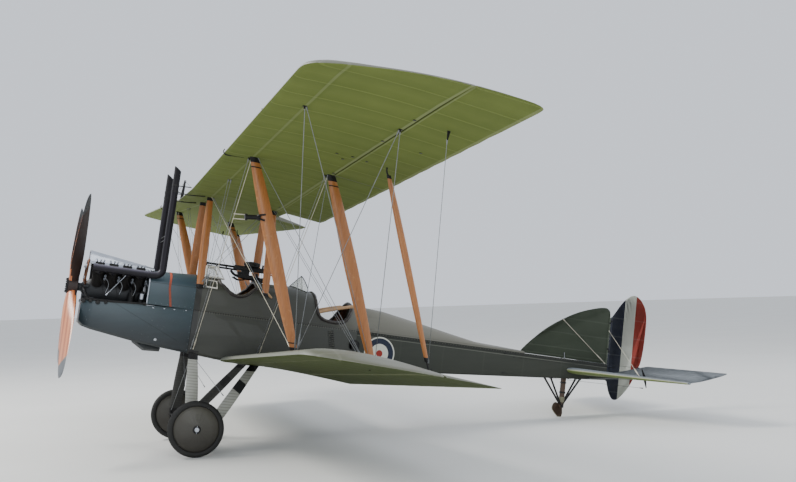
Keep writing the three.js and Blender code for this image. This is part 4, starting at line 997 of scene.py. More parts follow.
def wing_ring(bm, wing, station, part):
    """A section across a wing: the whole of it, what is ahead of an aileron, or the aileron."""
    x, front, rear, thin, sag = station
    spread = (1, .93, .84, .74, .64, .54, .45, .36, .28, .2, .13, .075, .035, .013, .003, 0)
    outline = []
    if part == "aileron":
        start = max(HINGE, front + .004)
        for share in (1, .93, .82, .68, .52, .36, .2, .08, 0):
            aft = start + (rear - start) * share
            outline.append((aft, linen_height(TOP_LINE, aft, station)))
        for angle in (30, 60, 90, 120, 150):
            aft = max(HINGE - NOSE_R * min(1, max(.4, thin * 2.2)) * sin(radians(angle)), front)
            rise = HINGE_Z + NOSE_R * cos(radians(angle))
            rise = min(max(rise, linen_height(LOW_LINE, aft, station) + .0004 * (6 - angle / 30)),
                       linen_height(TOP_LINE, aft, station) - .0004 * angle / 30)
            outline.append((aft, rise))
        for share in (0, .1, .25, .42, .6, .8, 1):
            aft = start + (rear - start) * share
            outline.append((aft, linen_height(LOW_LINE, aft, station)))
    else:
        narrow = min(1, max(0, .92 - thin) / .2)  # a wider slot where the tip thins
        top_end, low_end = rear, rear
        if part == "front":
            top_end, low_end = 1.13 - .018 * narrow, 1.119 - .009 * narrow
        for share in spread:
            aft = front + (top_end - front) * share
            outline.append((aft, linen_height(TOP_LINE, aft, station)))
        for share in spread[::-1]:
            aft = front + (low_end - front) * share
            outline.append((aft, linen_height(LOW_LINE, aft, station)))
        if part == "front":
            for angle in (122, 92, 62):
                rise = HINGE_Z + SLOT_R * cos(radians(angle))
                rise = min(max(rise, linen_height(LOW_LINE, 1.11, station)
                               + .0008 * (122 - angle) / 30 + .0005),
                           linen_height(TOP_LINE, 1.11, station) - .0008 * (angle - 62) / 30
                           - .0005)
                outline.append((HINGE - (SLOT_R + .004 * narrow) * sin(radians(angle)), rise))
    return chained(bm, [on_wing(wing, x, aft, rise) for aft, rise in outline])


def wing_stations(straight_end, start, end):
    """Ribs with the linen tight on them, and between them the middle of each sagging bay."""
    marks = [(start, 0, CHORD, 1, 0)]
    i = 0
    while .6 + i * RIB / 2 < min(straight_end, end) - .03:
        x = .6 + i * RIB / 2
        if x > start + .03:
            marks.append((x, 0, CHORD - (.006 if i % 2 else 0), 1, .0035 if i % 2 else 0))
        i += 1
    if end <= straight_end:
        return marks + [(end, 0, CHORD, 1, 0)]
    return marks + [(straight_end + past, front, rear, thin, 0)
                    for past, front, rear, thin in TIP if straight_end + past <= end]


def wing_linen(name, dark, light, painted_glow, lower):
    """Two finishes of one wing: painted above, and clear doped below."""
    nose = (LOWER if lower else UPPER)[0]
    made = []
    for above in (True, False):
        finish, spot = material(f"{name}_{'top' if above else 'under'}", light, .5,
                                Coat_Weight=.15 if above else 0, Coat_Roughness=.3,
                                Specular_IOR_Level=.35 if above else .08)
        place, x, y, z = level_axes(spot)
        aft = y - nose
        rib_gap = (abs(x) - .6).fold(RIB / 2)
        ribs = near(rib_gap, .013, .0015)
        core = near(rib_gap, .004, .001)
        riblets = near((abs(x) - .6).fold(RIB / 4), .006, .002)
        riblets = riblets * (1 - step(aft, .27, .01))
        spars = strip(aft, 1.085, 1.112, .002) + strip(aft, 1.132, 1.142, .002)
        spars = spars + strip(aft, .262, .285, .003) * .7
        rear_edge = step(aft, 1.66, .002)
        stitches = near(y.fold(.032), .003, .001) * core
        stain = mottle(spot, 1.1, 5, .6)
        patchy_glow = mottle(spot, 5, 4)
        if above:
            paint = mixed(stain, hue("5c5d4f"), hue("74756a"))
            paint = mixed(ribs * .3, paint, hue("7f8075"))
            # A band along the leading edge is painted lighter: a painted highlight.
            paint = mixed(step(.06 - aft, 0, .03) * .5, paint, hue("94968c"))
        else:
            # Below, light through the linen is painted in as a glow: patchy, stronger mid-bay and
            # on the ribs, with painted shade along the spars.
            paint = mixed(stain, hue(dark), hue(light))
            paint = mixed(patchy_glow * .3, paint, hue(painted_glow))
            bay = rib_gap * (2 / RIB)
            paint = mixed(bay * .18, paint, hue(painted_glow))
            paint = mixed(ribs * .3 + core * .2, paint, hue(painted_glow))
            shade = strip(aft, .255, .31, .01) * .16 + strip(aft, 1.06, 1.115, .01) * .16
            paint = mixed(shade, paint, hue(dark))
            paint = mixed(strip(aft, 1.109, 1.128, .002) * step(abs(x), 2.82) * .8, paint,
                          hue("23270f"))
        paint = mixed((spars + rear_edge) * .28, paint, hue("a3a883" if not above else "8b8c80"))
        paint = mixed(stitches * .35, paint, hue("4a4d38"))
        dress(finish, {"Base Color": paint, "Roughness": (.42 if above else .62) + stain * .2},
              ribs * .14 + core * .16 + riblets * .2 + spars * .1 + weave(spot) * .02
              - (rib_gap * (pi / RIB)).sine() * .5, .004)
        made.append(finish)
    return made


def over_and_under(bm):
    """Gives the faces that look down the second finish."""
    bmesh.ops.recalc_face_normals(bm, faces=bm.faces)
    for face in bm.faces:
        face.material_index = 1 if face.normal.z < 0 else 0


# The upper wing is painted lighter below than the lower: painted light through its linen, and
# painted shade from it on the lower wing.
upper_linen = wing_linen("upper_wing", "4f5c2b", "646f38", "808b4c", False)
lower_linen = wing_linen("lower_wing", "2d3416", "3b4420", "566035", True)
# The ring marks go over the paint that is on the top side of the upper wings, near the tips.
shader_tree = upper_linen[0].node_tree
mark = Tint(shader_tree.nodes.new("ShaderNodeTexCoord").outputs["Object"])
x, y, z = axes(level_place(mark))
off = distance(mark, (abs(x), y, 0.0), (4.72, .2, 0))
shader = shader_tree.nodes["Principled BSDF"]
paint = Tint(shader.inputs["Base Color"].links[0].from_socket)
paint = rings_painted(off, ((.70, "c9cabd"), (.66, "2b3a50"), (.44, "c9cabd"), (.22, "8e2b22")),
                      paint, .002)
dress(upper_linen[0], {"Base Color": paint})

for level, wing, root, straight_end, finishes in (
        ("upper", UPPER, .6004, 5.56, upper_linen), ("lower", LOWER, .3604, 4.06, lower_linen)):
    for hand, side in HANDS:
        bm = bmesh.new()
        for part, start, end in (("whole", root, 2.816), ("front", 2.8162, straight_end + .645)):
            stations = wing_stations(straight_end, start, end)
            join_rings(bm, [wing_ring(bm, wing, station, part) for station in stations])
        over_and_under(bm)
        fitted(f"{level}_wing_linen_{hand}", bm, finishes, stands_for=[f"{level}_wing_{hand}"],
               side=side, edge=42)
        bm = bmesh.new()
        stations = wing_stations(straight_end, AILERON_X, straight_end + .67)
        join_rings(bm, [wing_ring(bm, wing, station, "aileron") for station in stations])
        over_and_under(bm)
        fitted(f"{level}_aileron_linen_{hand}", bm, finishes, f"{level}_aileron_{hand}",
               [f"{level}_aileron_{hand}"], side, 42)
bm = bmesh.new()
for start, end, rear in ((-.6, -.363, CHORD), (-.363, .363, 1.24), (.363, .6, CHORD)):
    marks = [start + (end - start) * i / 4 for i in range(5)]
    rings = []
    for i, x in enumerate(marks):
        station = (x, 0, CHORD, 1, .002 if i in (1, 3) else 0)
        outline = [(aft, linen_height(TOP_LINE, aft, station)) for aft in
                   [rear * s for s in (1, .93, .84, .74, .64, .54, .45, .36, .28, .2, .13, .075,
                                       .035, .013, 0)]]
        outline += [(aft, linen_height(LOW_LINE, aft, station)) for aft in
                    [rear * s for s in (0, .013, .05, .12, .22, .35, .5, .65, .8, .92, 1)]]
        rings.append(chained(bm, [on_wing(UPPER, x, aft, rise) for aft, rise in outline]))
    join_rings(bm, rings)
over_and_under(bm)
fitted("centre_section_linen", bm, upper_linen, stands_for=["centre_section"], edge=42)



def below_wing(wing, x, aft):
    """A point of a wing's lower skin, by its span and its distance aft."""
    return on_wing(wing, x, aft, along(LOW_LINE, aft / CHORD, 1) * CHORD)


bm = bmesh.new()
for side in (1, -1):
    for x, aft in ((5.95, 1.09), (5.12, 1.09), (4.36, 1.46), (4.37, 1.09), (3.62, .9), (3.49, 1.0),
                   (3.65, 1.05), (3.63, 1.2), (2.9, 1.09), (.66, 1.08), (1.55, .28)):
        spot = below_wing(UPPER, side * x, aft)
        rod(bm, spot + Vector((0, 0, -.0025)), spot + Vector((0, 0, .004)), .015, sides=16)
    for x, aft in ((3.4, .9), (1.3, .9), (2.0, .3), (1.0, 1.3)):
        spot = below_wing(LOWER, side * x, aft)
        rod(bm, spot + Vector((0, 0, -.0025)), spot + Vector((0, 0, .004)), .013, sides=16)
    for x, aft in ((4.78, .265), (4.80, 1.09), (2.74, .25), (2.74, 1.06)):
        spot = below_wing(UPPER, side * x, aft)
        block(bm, spot - Vector((.014, .016, .004)), spot + Vector((.014, .016, .004)))
        rod(bm, spot - Vector((0, 0, .022)), spot, .006, sides=8)
    feed = [on_wing(UPPER, side * 2.71, aft, rise)
            for aft, rise in ((-.005, .05), (-.012, .02), (.02, -.006), (.09, .002), (.20, .012))]
    tube(bm, curve_through(feed, 4), .0055, 6)
fitted("wing_fittings", bm, [black_iron])

# Struts: streamlined silver spruce, varnished orange-brown, in black sheet-steel sockets;
# two pairs between the wings, two pairs to the centre section, black kingposts on top.
spruce, spot = material("varnished_spruce", "a8682f", .4, Coat_Weight=.2, Coat_Roughness=.3)
place, x, y, z = level_axes(spot)
grain = mottle(place, 60, 4, .65, (1, 1, .035))
broad = mottle(place, 9, 3, .5, (1, 1, .12))
wood = mixed(grain, hue("86501f"), hue("bd7c42"))
wood = mixed(broad * .5, wood, hue("a8642e"))
wood = mixed(step(mottle(place, 150, 2, .5, (1, 1, .02)), .62, .05) * .35, wood, hue("5f3417"))
rubs = step(mottle(spot, 11, 5, .7), .63, .05)
wood = mixed(rubs * .3, wood, hue("c99a6a"))
dress(spruce, {"Base Color": wood, "Roughness": .28 + grain * .14 + rubs * .15}, grain, .0005)
INTERPLANE = [(0, .066, .036), (.06, .082, .038), (.12, .105, .042), (.45, .148, .048),
              (.6, .150, .048), (.88, .118, .044), (1, .080, .034)]
CABANE = [(0, .074, .034), (.2, .095, .038), (.6, .100, .040), (1, .070, .034)]
KINGPOST = [(0, .044, .024), (.5, .046, .024), (1, .026, .018)]
LINK = [(0, .034, .022), (.3, .066, .030), (.6, .076, .032), (.85, .062, .028), (1, .030, .022)]
runs = []
for row, aft, foot_aft in (("front", SPAR_F, .02), ("rear", SPAR_R, .042)):
    high = on_wing(UPPER, .285, aft, .036)
    runs.append((f"interplane_{row}", on_wing(LOWER, STRUT_X, aft + foot_aft, .078),
                 on_wing(UPPER, STRUT_X, aft, .036), INTERPLANE, (0, .04), (.962, 1.0)))
    runs.append((f"cabane_{row}", Vector((.384, high.y + .012, .762)), high, CABANE, (0, .04),
                 (.945, 1.0)))
    runs.append((f"kingpost_{row}", on_wing(UPPER, STRUT_X, aft, .085),
                 on_wing(UPPER, STRUT_X, aft, .52), KINGPOST, (0, .12), (.9, 1.0)))
for hand, side in HANDS:
    for name, low, high, shape, foot, head in runs:
        bm = bmesh.new()
        strut(bm, low, high, shape)
        fitted(f"{name}_spar_{hand}", bm, [black_iron if name.startswith("king") else spruce],
               stands_for=[f"{name}_{hand}"], side=side)
        bm = bmesh.new()
        for first, last in (foot, head):
            strut(bm, low, high, shape, first, last, 2, .002)
            pin = low + (high - low) * ((first + last) / 2)
            rod(bm, pin - Vector((.026, 0, 0)), pin + Vector((.026, 0, 0)), .005, sides=8)
        if name.startswith("interplane"):
            run = high - low
            for share in (.062, .938):
                strut(bm, low, high, shape, share - .003, share + .003, 1, .0015)
            for pin in (low + run * .025, high - run * .02):
                block(bm, pin + Vector((-.038, -.008, -.012)), pin + Vector((.026, .008, .004)))
        fitted(f"{name}_sockets_{hand}", bm, [black_iron], side=side)
    body = f"aileron_link_{hand}"
    low, high = on_wing(LOWER, 3.72, 1.38, .078), on_wing(UPPER, 3.72, 1.38, -.010)
    bm = bmesh.new()
    strut(bm, low, high, LINK, .062, .955)
    fitted(f"aileron_strut_{hand}", bm, [spruce], body, [f"aileron_link_{hand}"], side)
    bm = bmesh.new()
    strut(bm, low, high, LINK, .055, .078, 1, .002)
    strut(bm, low, high, LINK, .945, .962, 1, .002)
    rod(bm, low, low + (high - low) * .065, .008, sides=8)
    tube(bm, curve_through([high - (high - low) * .05, high - (high - low) * .022
                            + Vector((0, -.012, 0)), high], 4),
         .008, 8)
    fitted(f"aileron_strut_ends_{hand}", bm, [black_iron], body, side=side)

# Rigging: stranded cable and swaged rods between the wings, each with a turnbuckle at its
# lower end. Flying wires are in pairs, one painted bright as if lit and one of plain dark
# steel; the tail is braced too.
steel = two_tone("rigging_steel", "8b9095", "5d6062", "94979a", (12, 3), (300, 1), .0004,
                 roughness=.4, metallic=.4)
# The pale wire finish is a lit copy of the steel: a painted highlight.
pale_steel = two_tone("lit_wire", "c4beab", "a8a392", "d3cdbb", (9, 4), (300, 1), .0004,
                      roughness=.45, metallic=.2)


def wire(bm, low, high, radius=.0035, buckle=True, twin=0.0):
    """A wire, or two side by side, with a turnbuckle near its lower end."""
    low, high = Vector(low), Vector(high)
    for shift in ((-twin / 2, twin / 2) if twin else (0,)):
        start, end = low + Vector((0, shift, 0)), high + Vector((0, shift, 0))
        run = (end - start).normalized()
        rod(bm, start, end, radius, sides=6)
        if buckle:
            rod(bm, start + run * .09, start + run * .16, .0085, .0085, 8)
            rod(bm, start + run * .05, start + run * .09, .005, .0085, 8)
            rod(bm, start + run * .16, start + run * .2, .0085, .004, 8)
        rod(bm, start, start + run * .04, .009, .005, 6)
        rod(bm, end - run * .05, end, .004, .008, 6)


W_LOW = {"front": on_wing(LOWER, 2.745, .285, .10), "rear": on_wing(LOWER, 2.745, 1.08, .085)}
for hand, side in HANDS:
    bm = bmesh.new()
    wire(bm, (.375, -.322, .02), on_wing(UPPER, 2.74, .27, 0), .0032)
    fitted(f"front_flying_wires_{hand}", bm, [pale_steel], stands_for=[f"flying_wire_{hand}"],
           side=side)
    bm = bmesh.new()
    wire(bm, W_LOW["front"] + Vector((-.02, .01, 0)), on_wing(UPPER, .33, .29, .012))
    fitted(f"front_landing_wire_{hand}", bm, [pale_steel], stands_for=[f"landing_wire_{hand}"],
           side=side)
    bm = bmesh.new()
    wire(bm, (.372, .484, .03), on_wing(UPPER, 2.74, 1.074, .02), .003)
    fitted(f"rear_flying_wires_{hand}", bm, [pale_steel], side=side)
    bm = bmesh.new()
    wire(bm, W_LOW["rear"] + Vector((-.02, .01, 0)), on_wing(UPPER, .33, 1.10, .02), .0024,
         twin=.028)
    wire(bm, (.375, -.35, .02), on_wing(UPPER, 2.74, .242, 0), .0024)
    wire(bm, (.372, .456, .03), on_wing(UPPER, 2.74, 1.046, .02), .0024)
    wire(bm, on_wing(LOWER, 2.84, .30, .10), on_wing(UPPER, STRUT_X, 1.06, .02), .003)
    wire(bm, on_wing(LOWER, 2.84, 1.06, .085), on_wing(UPPER, STRUT_X, .32, .02), .003)
    wire(bm, on_wing(LOWER, 2.86, .275, .10), on_wing(UPPER, 4.78, .265, .02))
    wire(bm, on_wing(LOWER, 2.86, 1.125, .085), on_wing(UPPER, 4.80, 1.09, .02))
    wire(bm, on_wing(LOWER, 2.86, 1.10, .085), on_wing(UPPER, 4.78, .275, .02), .003)
    wire(bm, on_wing(LOWER, 2.86, .285, .10), on_wing(UPPER, 4.80, 1.08, .02), .003)
    for aft in (SPAR_F, SPAR_R):
        top = on_wing(UPPER, STRUT_X, aft, .51)
        wire(bm, on_wing(UPPER, .62, aft, along(TOP_LINE, aft / CHORD, 1) * CHORD), top, .003)
        wire(bm, on_wing(UPPER, 4.74, aft, along(TOP_LINE, aft / CHORD, 1) * CHORD), top, .003)
    f_low, r_low = Vector((.39, -.365, .80)), Vector((.39, .45, .80))
    wire(bm, f_low, on_wing(UPPER, .30, 1.06, .02), .003)
    wire(bm, r_low, on_wing(UPPER, .30, .31, .02), .003)
    wire(bm, (.388, -.29, .78), on_wing(UPPER, 1.6, .27, .012), .0024, twin=.028)
    wire(bm, (.345, -.318, -.06), (.70, .06, -.48), .003, False)
    wire(bm, (.336, -.33, -.055), (-.72, AXLE_Y - .09, AXLE_Z + .06), .003, False)
    wire(bm, (.04, 4.99, .475), (.016, 4.99, .56), .003, False)
    wire(bm, (1.25, 5.60, .31), (.052, 5.42, .235), .003)
    wire(bm, (.075, 5.18, .20), (1.1, 5.40, .308), .003, False)
    fitted(f"bracing_wires_{hand}", bm, [steel], side=side)
    bm = bmesh.new()
    wire(bm, (.05, 5.66, .475), (.016, 4.925, 1.03), .0042)
    wire(bm, (.95, 5.655, .337), (.016, 5.70, .957), .0034)
    fitted(f"fin_wires_{hand}", bm, [pale_steel], side=side)
    bm = bmesh.new()
    wire(bm, (3.74, 1.372, .205), on_wing(UPPER, 5.14, 1.385, -.062), .0028, False)
    fitted(f"aileron_balance_cable_{hand}", bm, [steel], f"aileron_link_{hand}", side=side)
    for level, wing, x, aft, rise, base in (
            ("upper", UPPER, 5.146, 1.385, -.07, .006), ("lower", LOWER, 3.752, 1.38, .13, .05)):
        bm = bmesh.new()
        root = on_wing(wing, x, aft, base)
        point = on_wing(wing, x, aft, rise)
        strut(bm, root, point, [(0, .03, .007), (1, .010, .006)], count=3)
        fitted(f"{level}_aileron_horn_{hand}", bm, [black_iron], f"{level}_aileron_{hand}",
               side=side)
# Airspeed tubes on the port front strut: a black bar on a fork, with two pale mouths that
# face forward, and a thin pipe that runs down the strut's inner side.
bm = bmesh.new()
rod(bm, (STRUT_X, -.215, 1.432), (STRUT_X, -.355, 1.413), .024, sides=14)
for across in (-.026, .026):
    for rise in (-.03, .03):
        tube(bm, [(STRUT_X, -.262, 1.426), (STRUT_X + across, -.235, 1.43 + rise * .6),
                  (STRUT_X + across, -.17, 1.435 + rise)],
             .0095, 8)
rod(bm, (STRUT_X, -.368, 1.412), (STRUT_X, -.345, 1.415), .034, sides=14)
tube(bm, curve_through([(2.775, -.16, 1.40), (2.772, -.04, 1.10), (2.772, .12, .65),
                        (2.772, .24, .26)], 5), .0035, 5)
fitted("airspeed_holder", bm, [black_iron])
bm = bmesh.new()
for rise in (-.024, .024):
    rod(bm, (STRUT_X, -.36, 1.412 + rise), (STRUT_X, -.481, 1.401 + rise), .0055, .0045, 10)
fitted("airspeed_tubes", bm, [pale_steel])

# Tail: surfaces of steel tube and ash ribs under doped linen, flat but for the tailplane's
# thicker root. Fin and tailplane are wire-braced; rudder and elevators hinge on tubes.
TAIL_FINISHES = []
# The tail's top colours are blue-grey: a painted sheen of the sky.
for name, dark, light, high, low in (("tail_top", "63686b", "7f868c", "949ba2", "5b5f5e"),
                                     ("tail_under", "5a6536", "727f47", "8a9560", "4f5a32"),
                                     ("fin_linen", "474e42", "586051", "697062", "3d433a")):
    finish, spot = material(name, light, .55, Specular_IOR_Level=.2)
    place, x, y, z = level_axes(spot)
    stain = mottle(spot, 1.7, 5, .6)
    if name == "fin_linen":
        gap = (z - .62).fold(.11)
        edge = strip(z, .505, .522, .002)
    else:
        gap = (abs(x) - .36).fold(.135)
        edge = strip(y, 5.635, 5.66, .002) * (abs(x) > .1)
    ribs = near(gap, .009, .002)
    paint = mixed(stain, hue(dark), hue(light))
    paint = mixed(ribs * .35 + edge * .4, paint, hue(high))
    paint = mixed(mottle(spot, 6, 4) * .3, paint, hue(low))
    if name != "fin_linen":
        # A pale band along the leading edge is a painted highlight.
        nose = 1 - step((y - 5.018) * .947 - (abs(x) - .09) * .3206, .0035, .002)
        nose = nose * step(5.67 - y, 0)
        paint = mixed(nose * .6, paint, hue("b3b599"))
    dress(finish, {"Base Color": paint, "Roughness": .46 + stain * .2},
          ribs * .2 + edge * .15 - (gap * (pi / .27)).sine() * .35 + weave(spot) * .02, .003)
    TAIL_FINISHES.append(finish)
tail_top, tail_under, fin_linen = TAIL_FINISHES


def flat_surface(bm, outline, half, round_by):
    """A flat closed plate about z = 0, from its outline, with its rim rounded over."""
    plate(bm, [(x, y, 0) for x, y in outline], 2 * half)
    middle = (max(v.co.z for v in bm.verts) + min(v.co.z for v in bm.verts)) / 2
    bmesh.ops.translate(bm, vec=(0, 0, -middle), verts=bm.verts)
    bmesh.ops.recalc_face_normals(bm, faces=bm.faces)
    soften(bm, round_by, 60, 4)
    caps = [f for f in bm.faces if abs(f.normal.z) > .999 and len(f.verts) > 6]
    bmesh.ops.inset_region(bm, faces=caps, thickness=.006, use_even_offset=False)


def stand_up(bm):
    """Turns a flat piece up on edge along the middle of the body."""
    bmesh.ops.rotate(bm, verts=bm.verts, cent=(0, 0, 0),
                     matrix=Matrix.Rotation(radians(90), 3, "Y"))


ELEVATOR_HINGE, ELEVATOR_SET = Vector((0, 5.69, .322)), radians(21)


def hang_elevators(bm):
    """Turns a piece drawn about its hinge to the parked angle, rear edge up, at the tail."""
    bmesh.ops.rotate(bm, verts=bm.verts, cent=(0, 0, 0),
                     matrix=Matrix.Rotation(ELEVATOR_SET, 3, "X"))
    bmesh.ops.translate(bm, vec=ELEVATOR_HINGE, verts=bm.verts)


for hand, side in HANDS:
    bm = bmesh.new()
    rings, high = [], ELEVATOR_HINGE.z
    shares = (0, .008, .03, .08, .16, .28, .42, .6, .8, 1)
    for out in (0, .06, .12, .2, .3, .4, .5, .6, .7, .8, .88, .94, .98, 1):
        front = Vector((.0906, 5.018, high)).lerp(Vector((1.97, 5.655, high)), out)
        rear = Vector((.0372, 5.667, high)).lerp(Vector((1.985, 5.667, high)), out)
        chord = rear.y - front.y
        outline = []
        for over, part in ((1, shares[:0:-1]), (-1, shares)):
            for share in part:
                half = .015 * sin(min(1, share * chord / .02) * pi / 2)
                half += (.036 if over > 0 else .058) * chord * sin(pi * share ** .6)
                outline.append(front.lerp(rear, share) + Vector((0, 0, over * half)))
        rings.append(chained(bm, outline))
    join_rings(bm, rings)
    over_and_under(bm)
    fitted(f"tailplane_linen_{hand}", bm, [tail_top, tail_under], stands_for=[f"tailplane_{hand}"],
           side=side, edge=50)

bm = bmesh.new()
outer = curve_through([(1.985, .002), (2.075, .11), (2.13, .33), (2.126, .47), (2.08, .515)], 5)
outline = [(.062, 0), *[tuple(p) for p in outer]]
outline += [(2.08 - 1.68 * i / 12, .515 - .008 * i / 12 - (.004 if i % 2 else 0))
            for i in range(1, 13)]
outline += [(.385, .502), (.36, .48), (.20, .22)]
flat_surface(bm, outline, .012, .010)
rod(bm, (.062, 0, 0), (1.985, 0, 0), .015, sides=16)
bmesh.ops.mirror(bm, geom=[*bm.verts, *bm.edges, *bm.faces], axis="X", merge_dist=1e-6)
rod(bm, (-.1, 0, 0), (.1, 0, 0), .011, sides=12)
for face in bm.faces:
    face.material_index = 1 if face.calc_center_median().z < 0 else 0
hang_elevators(bm)
fitted("elevator_linen", bm, [tail_top, tail_under], "elevators", ["elevators"], edge=50)
bm = bmesh.new()
for side in (1, -1):
    for rise in (.135, -.135):
        strut(bm, (side * 1.0, .012, 0), (side * 1.0, 0, rise), [(0, .05, .006), (1, .012, .005)],
              count=3)
    for x in (.2, .75, 1.4, 1.9):
        rod(bm, (side * x - .012, 0, 0), (side * x + .012, 0, 0), .0175, sides=12)
hang_elevators(bm)
fitted("elevator_horns", bm, [black_iron], "elevators")

fin_edge = curve_through([(4.29, .50), (4.302, .528), (4.445, .677), (4.668, .872), (4.934, 1.044),
                          (5.192, 1.172), (5.442, 1.255), (5.60, 1.286), (5.668, 1.275),
                          (5.704, 1.232), (5.716, 1.15)], 5)
outline = [tuple(p) for p in fin_edge] + [(5.718, .9), (5.718, .473), (4.32, .485)]
bm = bmesh.new()
flat_surface(bm, [(-z, y) for y, z in outline], .014, .011)
stand_up(bm)
rod(bm, (0, 5.7115, .475), (0, 5.7115, 1.15), .0125, sides=14)
fitted("fin_plate", bm, [fin_linen], stands_for=["fin"], edge=50)

stripes, spot = material("rudder_stripes", "c9cabd", .55, Specular_IOR_Level=.2)
place, x, y, z = level_axes(spot)
stain = mottle(spot, 1.9, 5, .6)
white = mixed(stain, hue("bdbfb3"), hue("d3d4c9"))
blue = mixed(stain, hue("151b2b"), hue("20283c"))
red = mixed(stain, hue("8c2a20"), hue("a23a2d"))
paint = mixed(step(y, 5.95), blue, mixed(step(y, 6.14), white, red))
ribs = near((z - .62).fold(.135), .009, .002)
paint = mixed(ribs * .05, paint, hue("e2e2da"))
paint = mixed(mottle(spot, 7, 5) * .22, paint, hue("77766c"))
gap = (z - .62).fold(.135)
dress(stripes, {"Base Color": paint, "Roughness": .45 + stain * .2},
      ribs * .2 - (gap * (pi / .27)).sine() * .35 + weave(spot) * .02, .003)
RUDDER_Y = 5.742
swept = curve_through([(0, 1.165), (.06, 1.252), (.125, 1.352), (.205, 1.447), (.29, 1.510),
                       (.355, 1.53), (.42, 1.512), (.49, 1.462), (.56, 1.36), (.598, 1.215),
                       (.6, 1.0), (.59, .77), (.562, .56), (.52, .452), (.42, .226), (.305, .066),
                       (.215, -.018), (.17, -.034), (.118, -.022), (.06, .055), (.018, .165),
                       (0, .225)], 3)
bm = bmesh.new()
flat_surface(bm, [(-p.y, RUDDER_Y + p.x) for p in swept], .011, .009)
stand_up(bm)
rod(bm, (0, RUDDER_Y, .225), (0, RUDDER_Y, 1.165), .013, sides=16)
fitted("rudder_plate", bm, [stripes], "rudder", ["rudder"], edge=50)
bm = bmesh.new()
tube(bm, [(-.14, RUDDER_Y + .012, .43), (-.07, RUDDER_Y + .021, .43), (.07, RUDDER_Y + .021, .43),
          (.14, RUDDER_Y + .012, .43)], [.008, .015, .015, .008], 12, flat=.3)
for z in (.30, .66, 1.1):
    rod(bm, (0, RUDDER_Y, z - .014), (0, RUDDER_Y, z + .014), .016, sides=14)
fitted("rudder_horn", bm, [black_iron], "rudder")
bm = bmesh.new()
for side in (1, -1):
    for z in (.33, .69, 1.07):
        block(bm, (side * .004, 5.70, z - .012), (side * .0155, 5.721, z + .012))
    wire(bm, (side * .158, 4.10, .40), (side * .1545, 5.752, .43), .0018, False)
    for rise, y, z in ((.118, 5.615, .455), (-.118, 5.70, .19)):
        wire(bm, (side * .175, 3.95, .44 if rise > 0 else .17), (side * .985, y, z), .0018, False)
fitted("tail_cables", bm, [black_iron])

# Tail skid: a sprung ash arm with a turned-up iron-shod toe, carried on an ash post and four
# black steel tubes that meet under the body.
ash, spot = material("oiled_ash", "4a3624", .5, Coat_Weight=.15)
place = level_place(spot)
grain = mottle(place, 70, 4, .65, (1, 1, .06))
wood = mixed(grain, hue("35251a"), hue("5f4730"))
wood = mixed(mottle(spot, 8, 5) * .4, wood, hue("2a1e14"))
dress(ash, {"Base Color": wood, "Roughness": .45 + grain * .2}, grain, .0006)
SKID_Y, FOOT_Z = 5.03, (5.018 * sin(PITCH) - LIFT) / cos(PITCH)
bm = bmesh.new()
for side in (1, -1):
    for x, y, z in ((.096, 4.768, .178), (.058, 5.262, .205)):
        rod(bm, (side * x, y, z), (side * .006, SKID_Y, FOOT_Z + .155), .014, sides=12)
        rod(bm, (side * x, y, z - .012), (side * x, y, z + .008), .02, sides=12)
rod(bm, (-.034, SKID_Y, FOOT_Z + .157), (.034, SKID_Y, FOOT_Z + .157), .021, sides=16)
for z in (-.02, .12):
    block(bm, (-.0245, 4.992, z), (.0245, 5.068, z + .022))
fitted("skid_tubes", bm, [black_iron])
bm = bmesh.new()
line = curve_through([(5.056, FOOT_Z + .10), (5.046, FOOT_Z + .165), (4.985, FOOT_Z + .19),
                      (4.935, FOOT_Z + .203), (4.90, FOOT_Z + .178), (4.885, FOOT_Z + .135),
                      (4.889, FOOT_Z + .10), (4.93, FOOT_Z + .055), (4.985, FOOT_Z + .006),
                      (5.01, FOOT_Z + .0035), (5.045, FOOT_Z + .008), (5.06, FOOT_Z + .05)], 3,
                     True)
flat_surface(bm, [(-p.y, p.x) for p in line], .021, .006)
stand_up(bm)
post = bmesh.ops.create_cube(bm, size=1,
                             matrix=Matrix.Translation((0, SKID_Y, (FOOT_Z + .335) / 2)) @
                             Matrix.Diagonal((.042, .068, .065 - FOOT_Z, 1)))["verts"]
bmesh.ops.bevel(bm, geom=list({e for v in post for e in v.link_edges}), offset=.006, affect="EDGES",
                segments=3, profile=.5, material=-1)
fitted("skid_post_and_shoe", bm, [ash], stands_for=["tail_skid"])
bm = bmesh.new()
tube(bm, [(0, 4.885, FOOT_Z + .13), (0, 4.893, FOOT_Z + .096), (0, 4.935, FOOT_Z + .05),
          (0, 4.985, FOOT_Z + .006), (0, SKID_Y, FOOT_Z + .006)], .0055, 8)
for lap in range(7):
    z = FOOT_Z + .215 + lap * .011
    ring = [(.026 * cos(i * pi / 6), SKID_Y + .042 * sin(i * pi / 6), z) for i in range(12)]
    tube(bm, ring, .0055, 6, looped=True)
fitted("skid_iron_and_shock_cord", bm, [cord, black_iron])

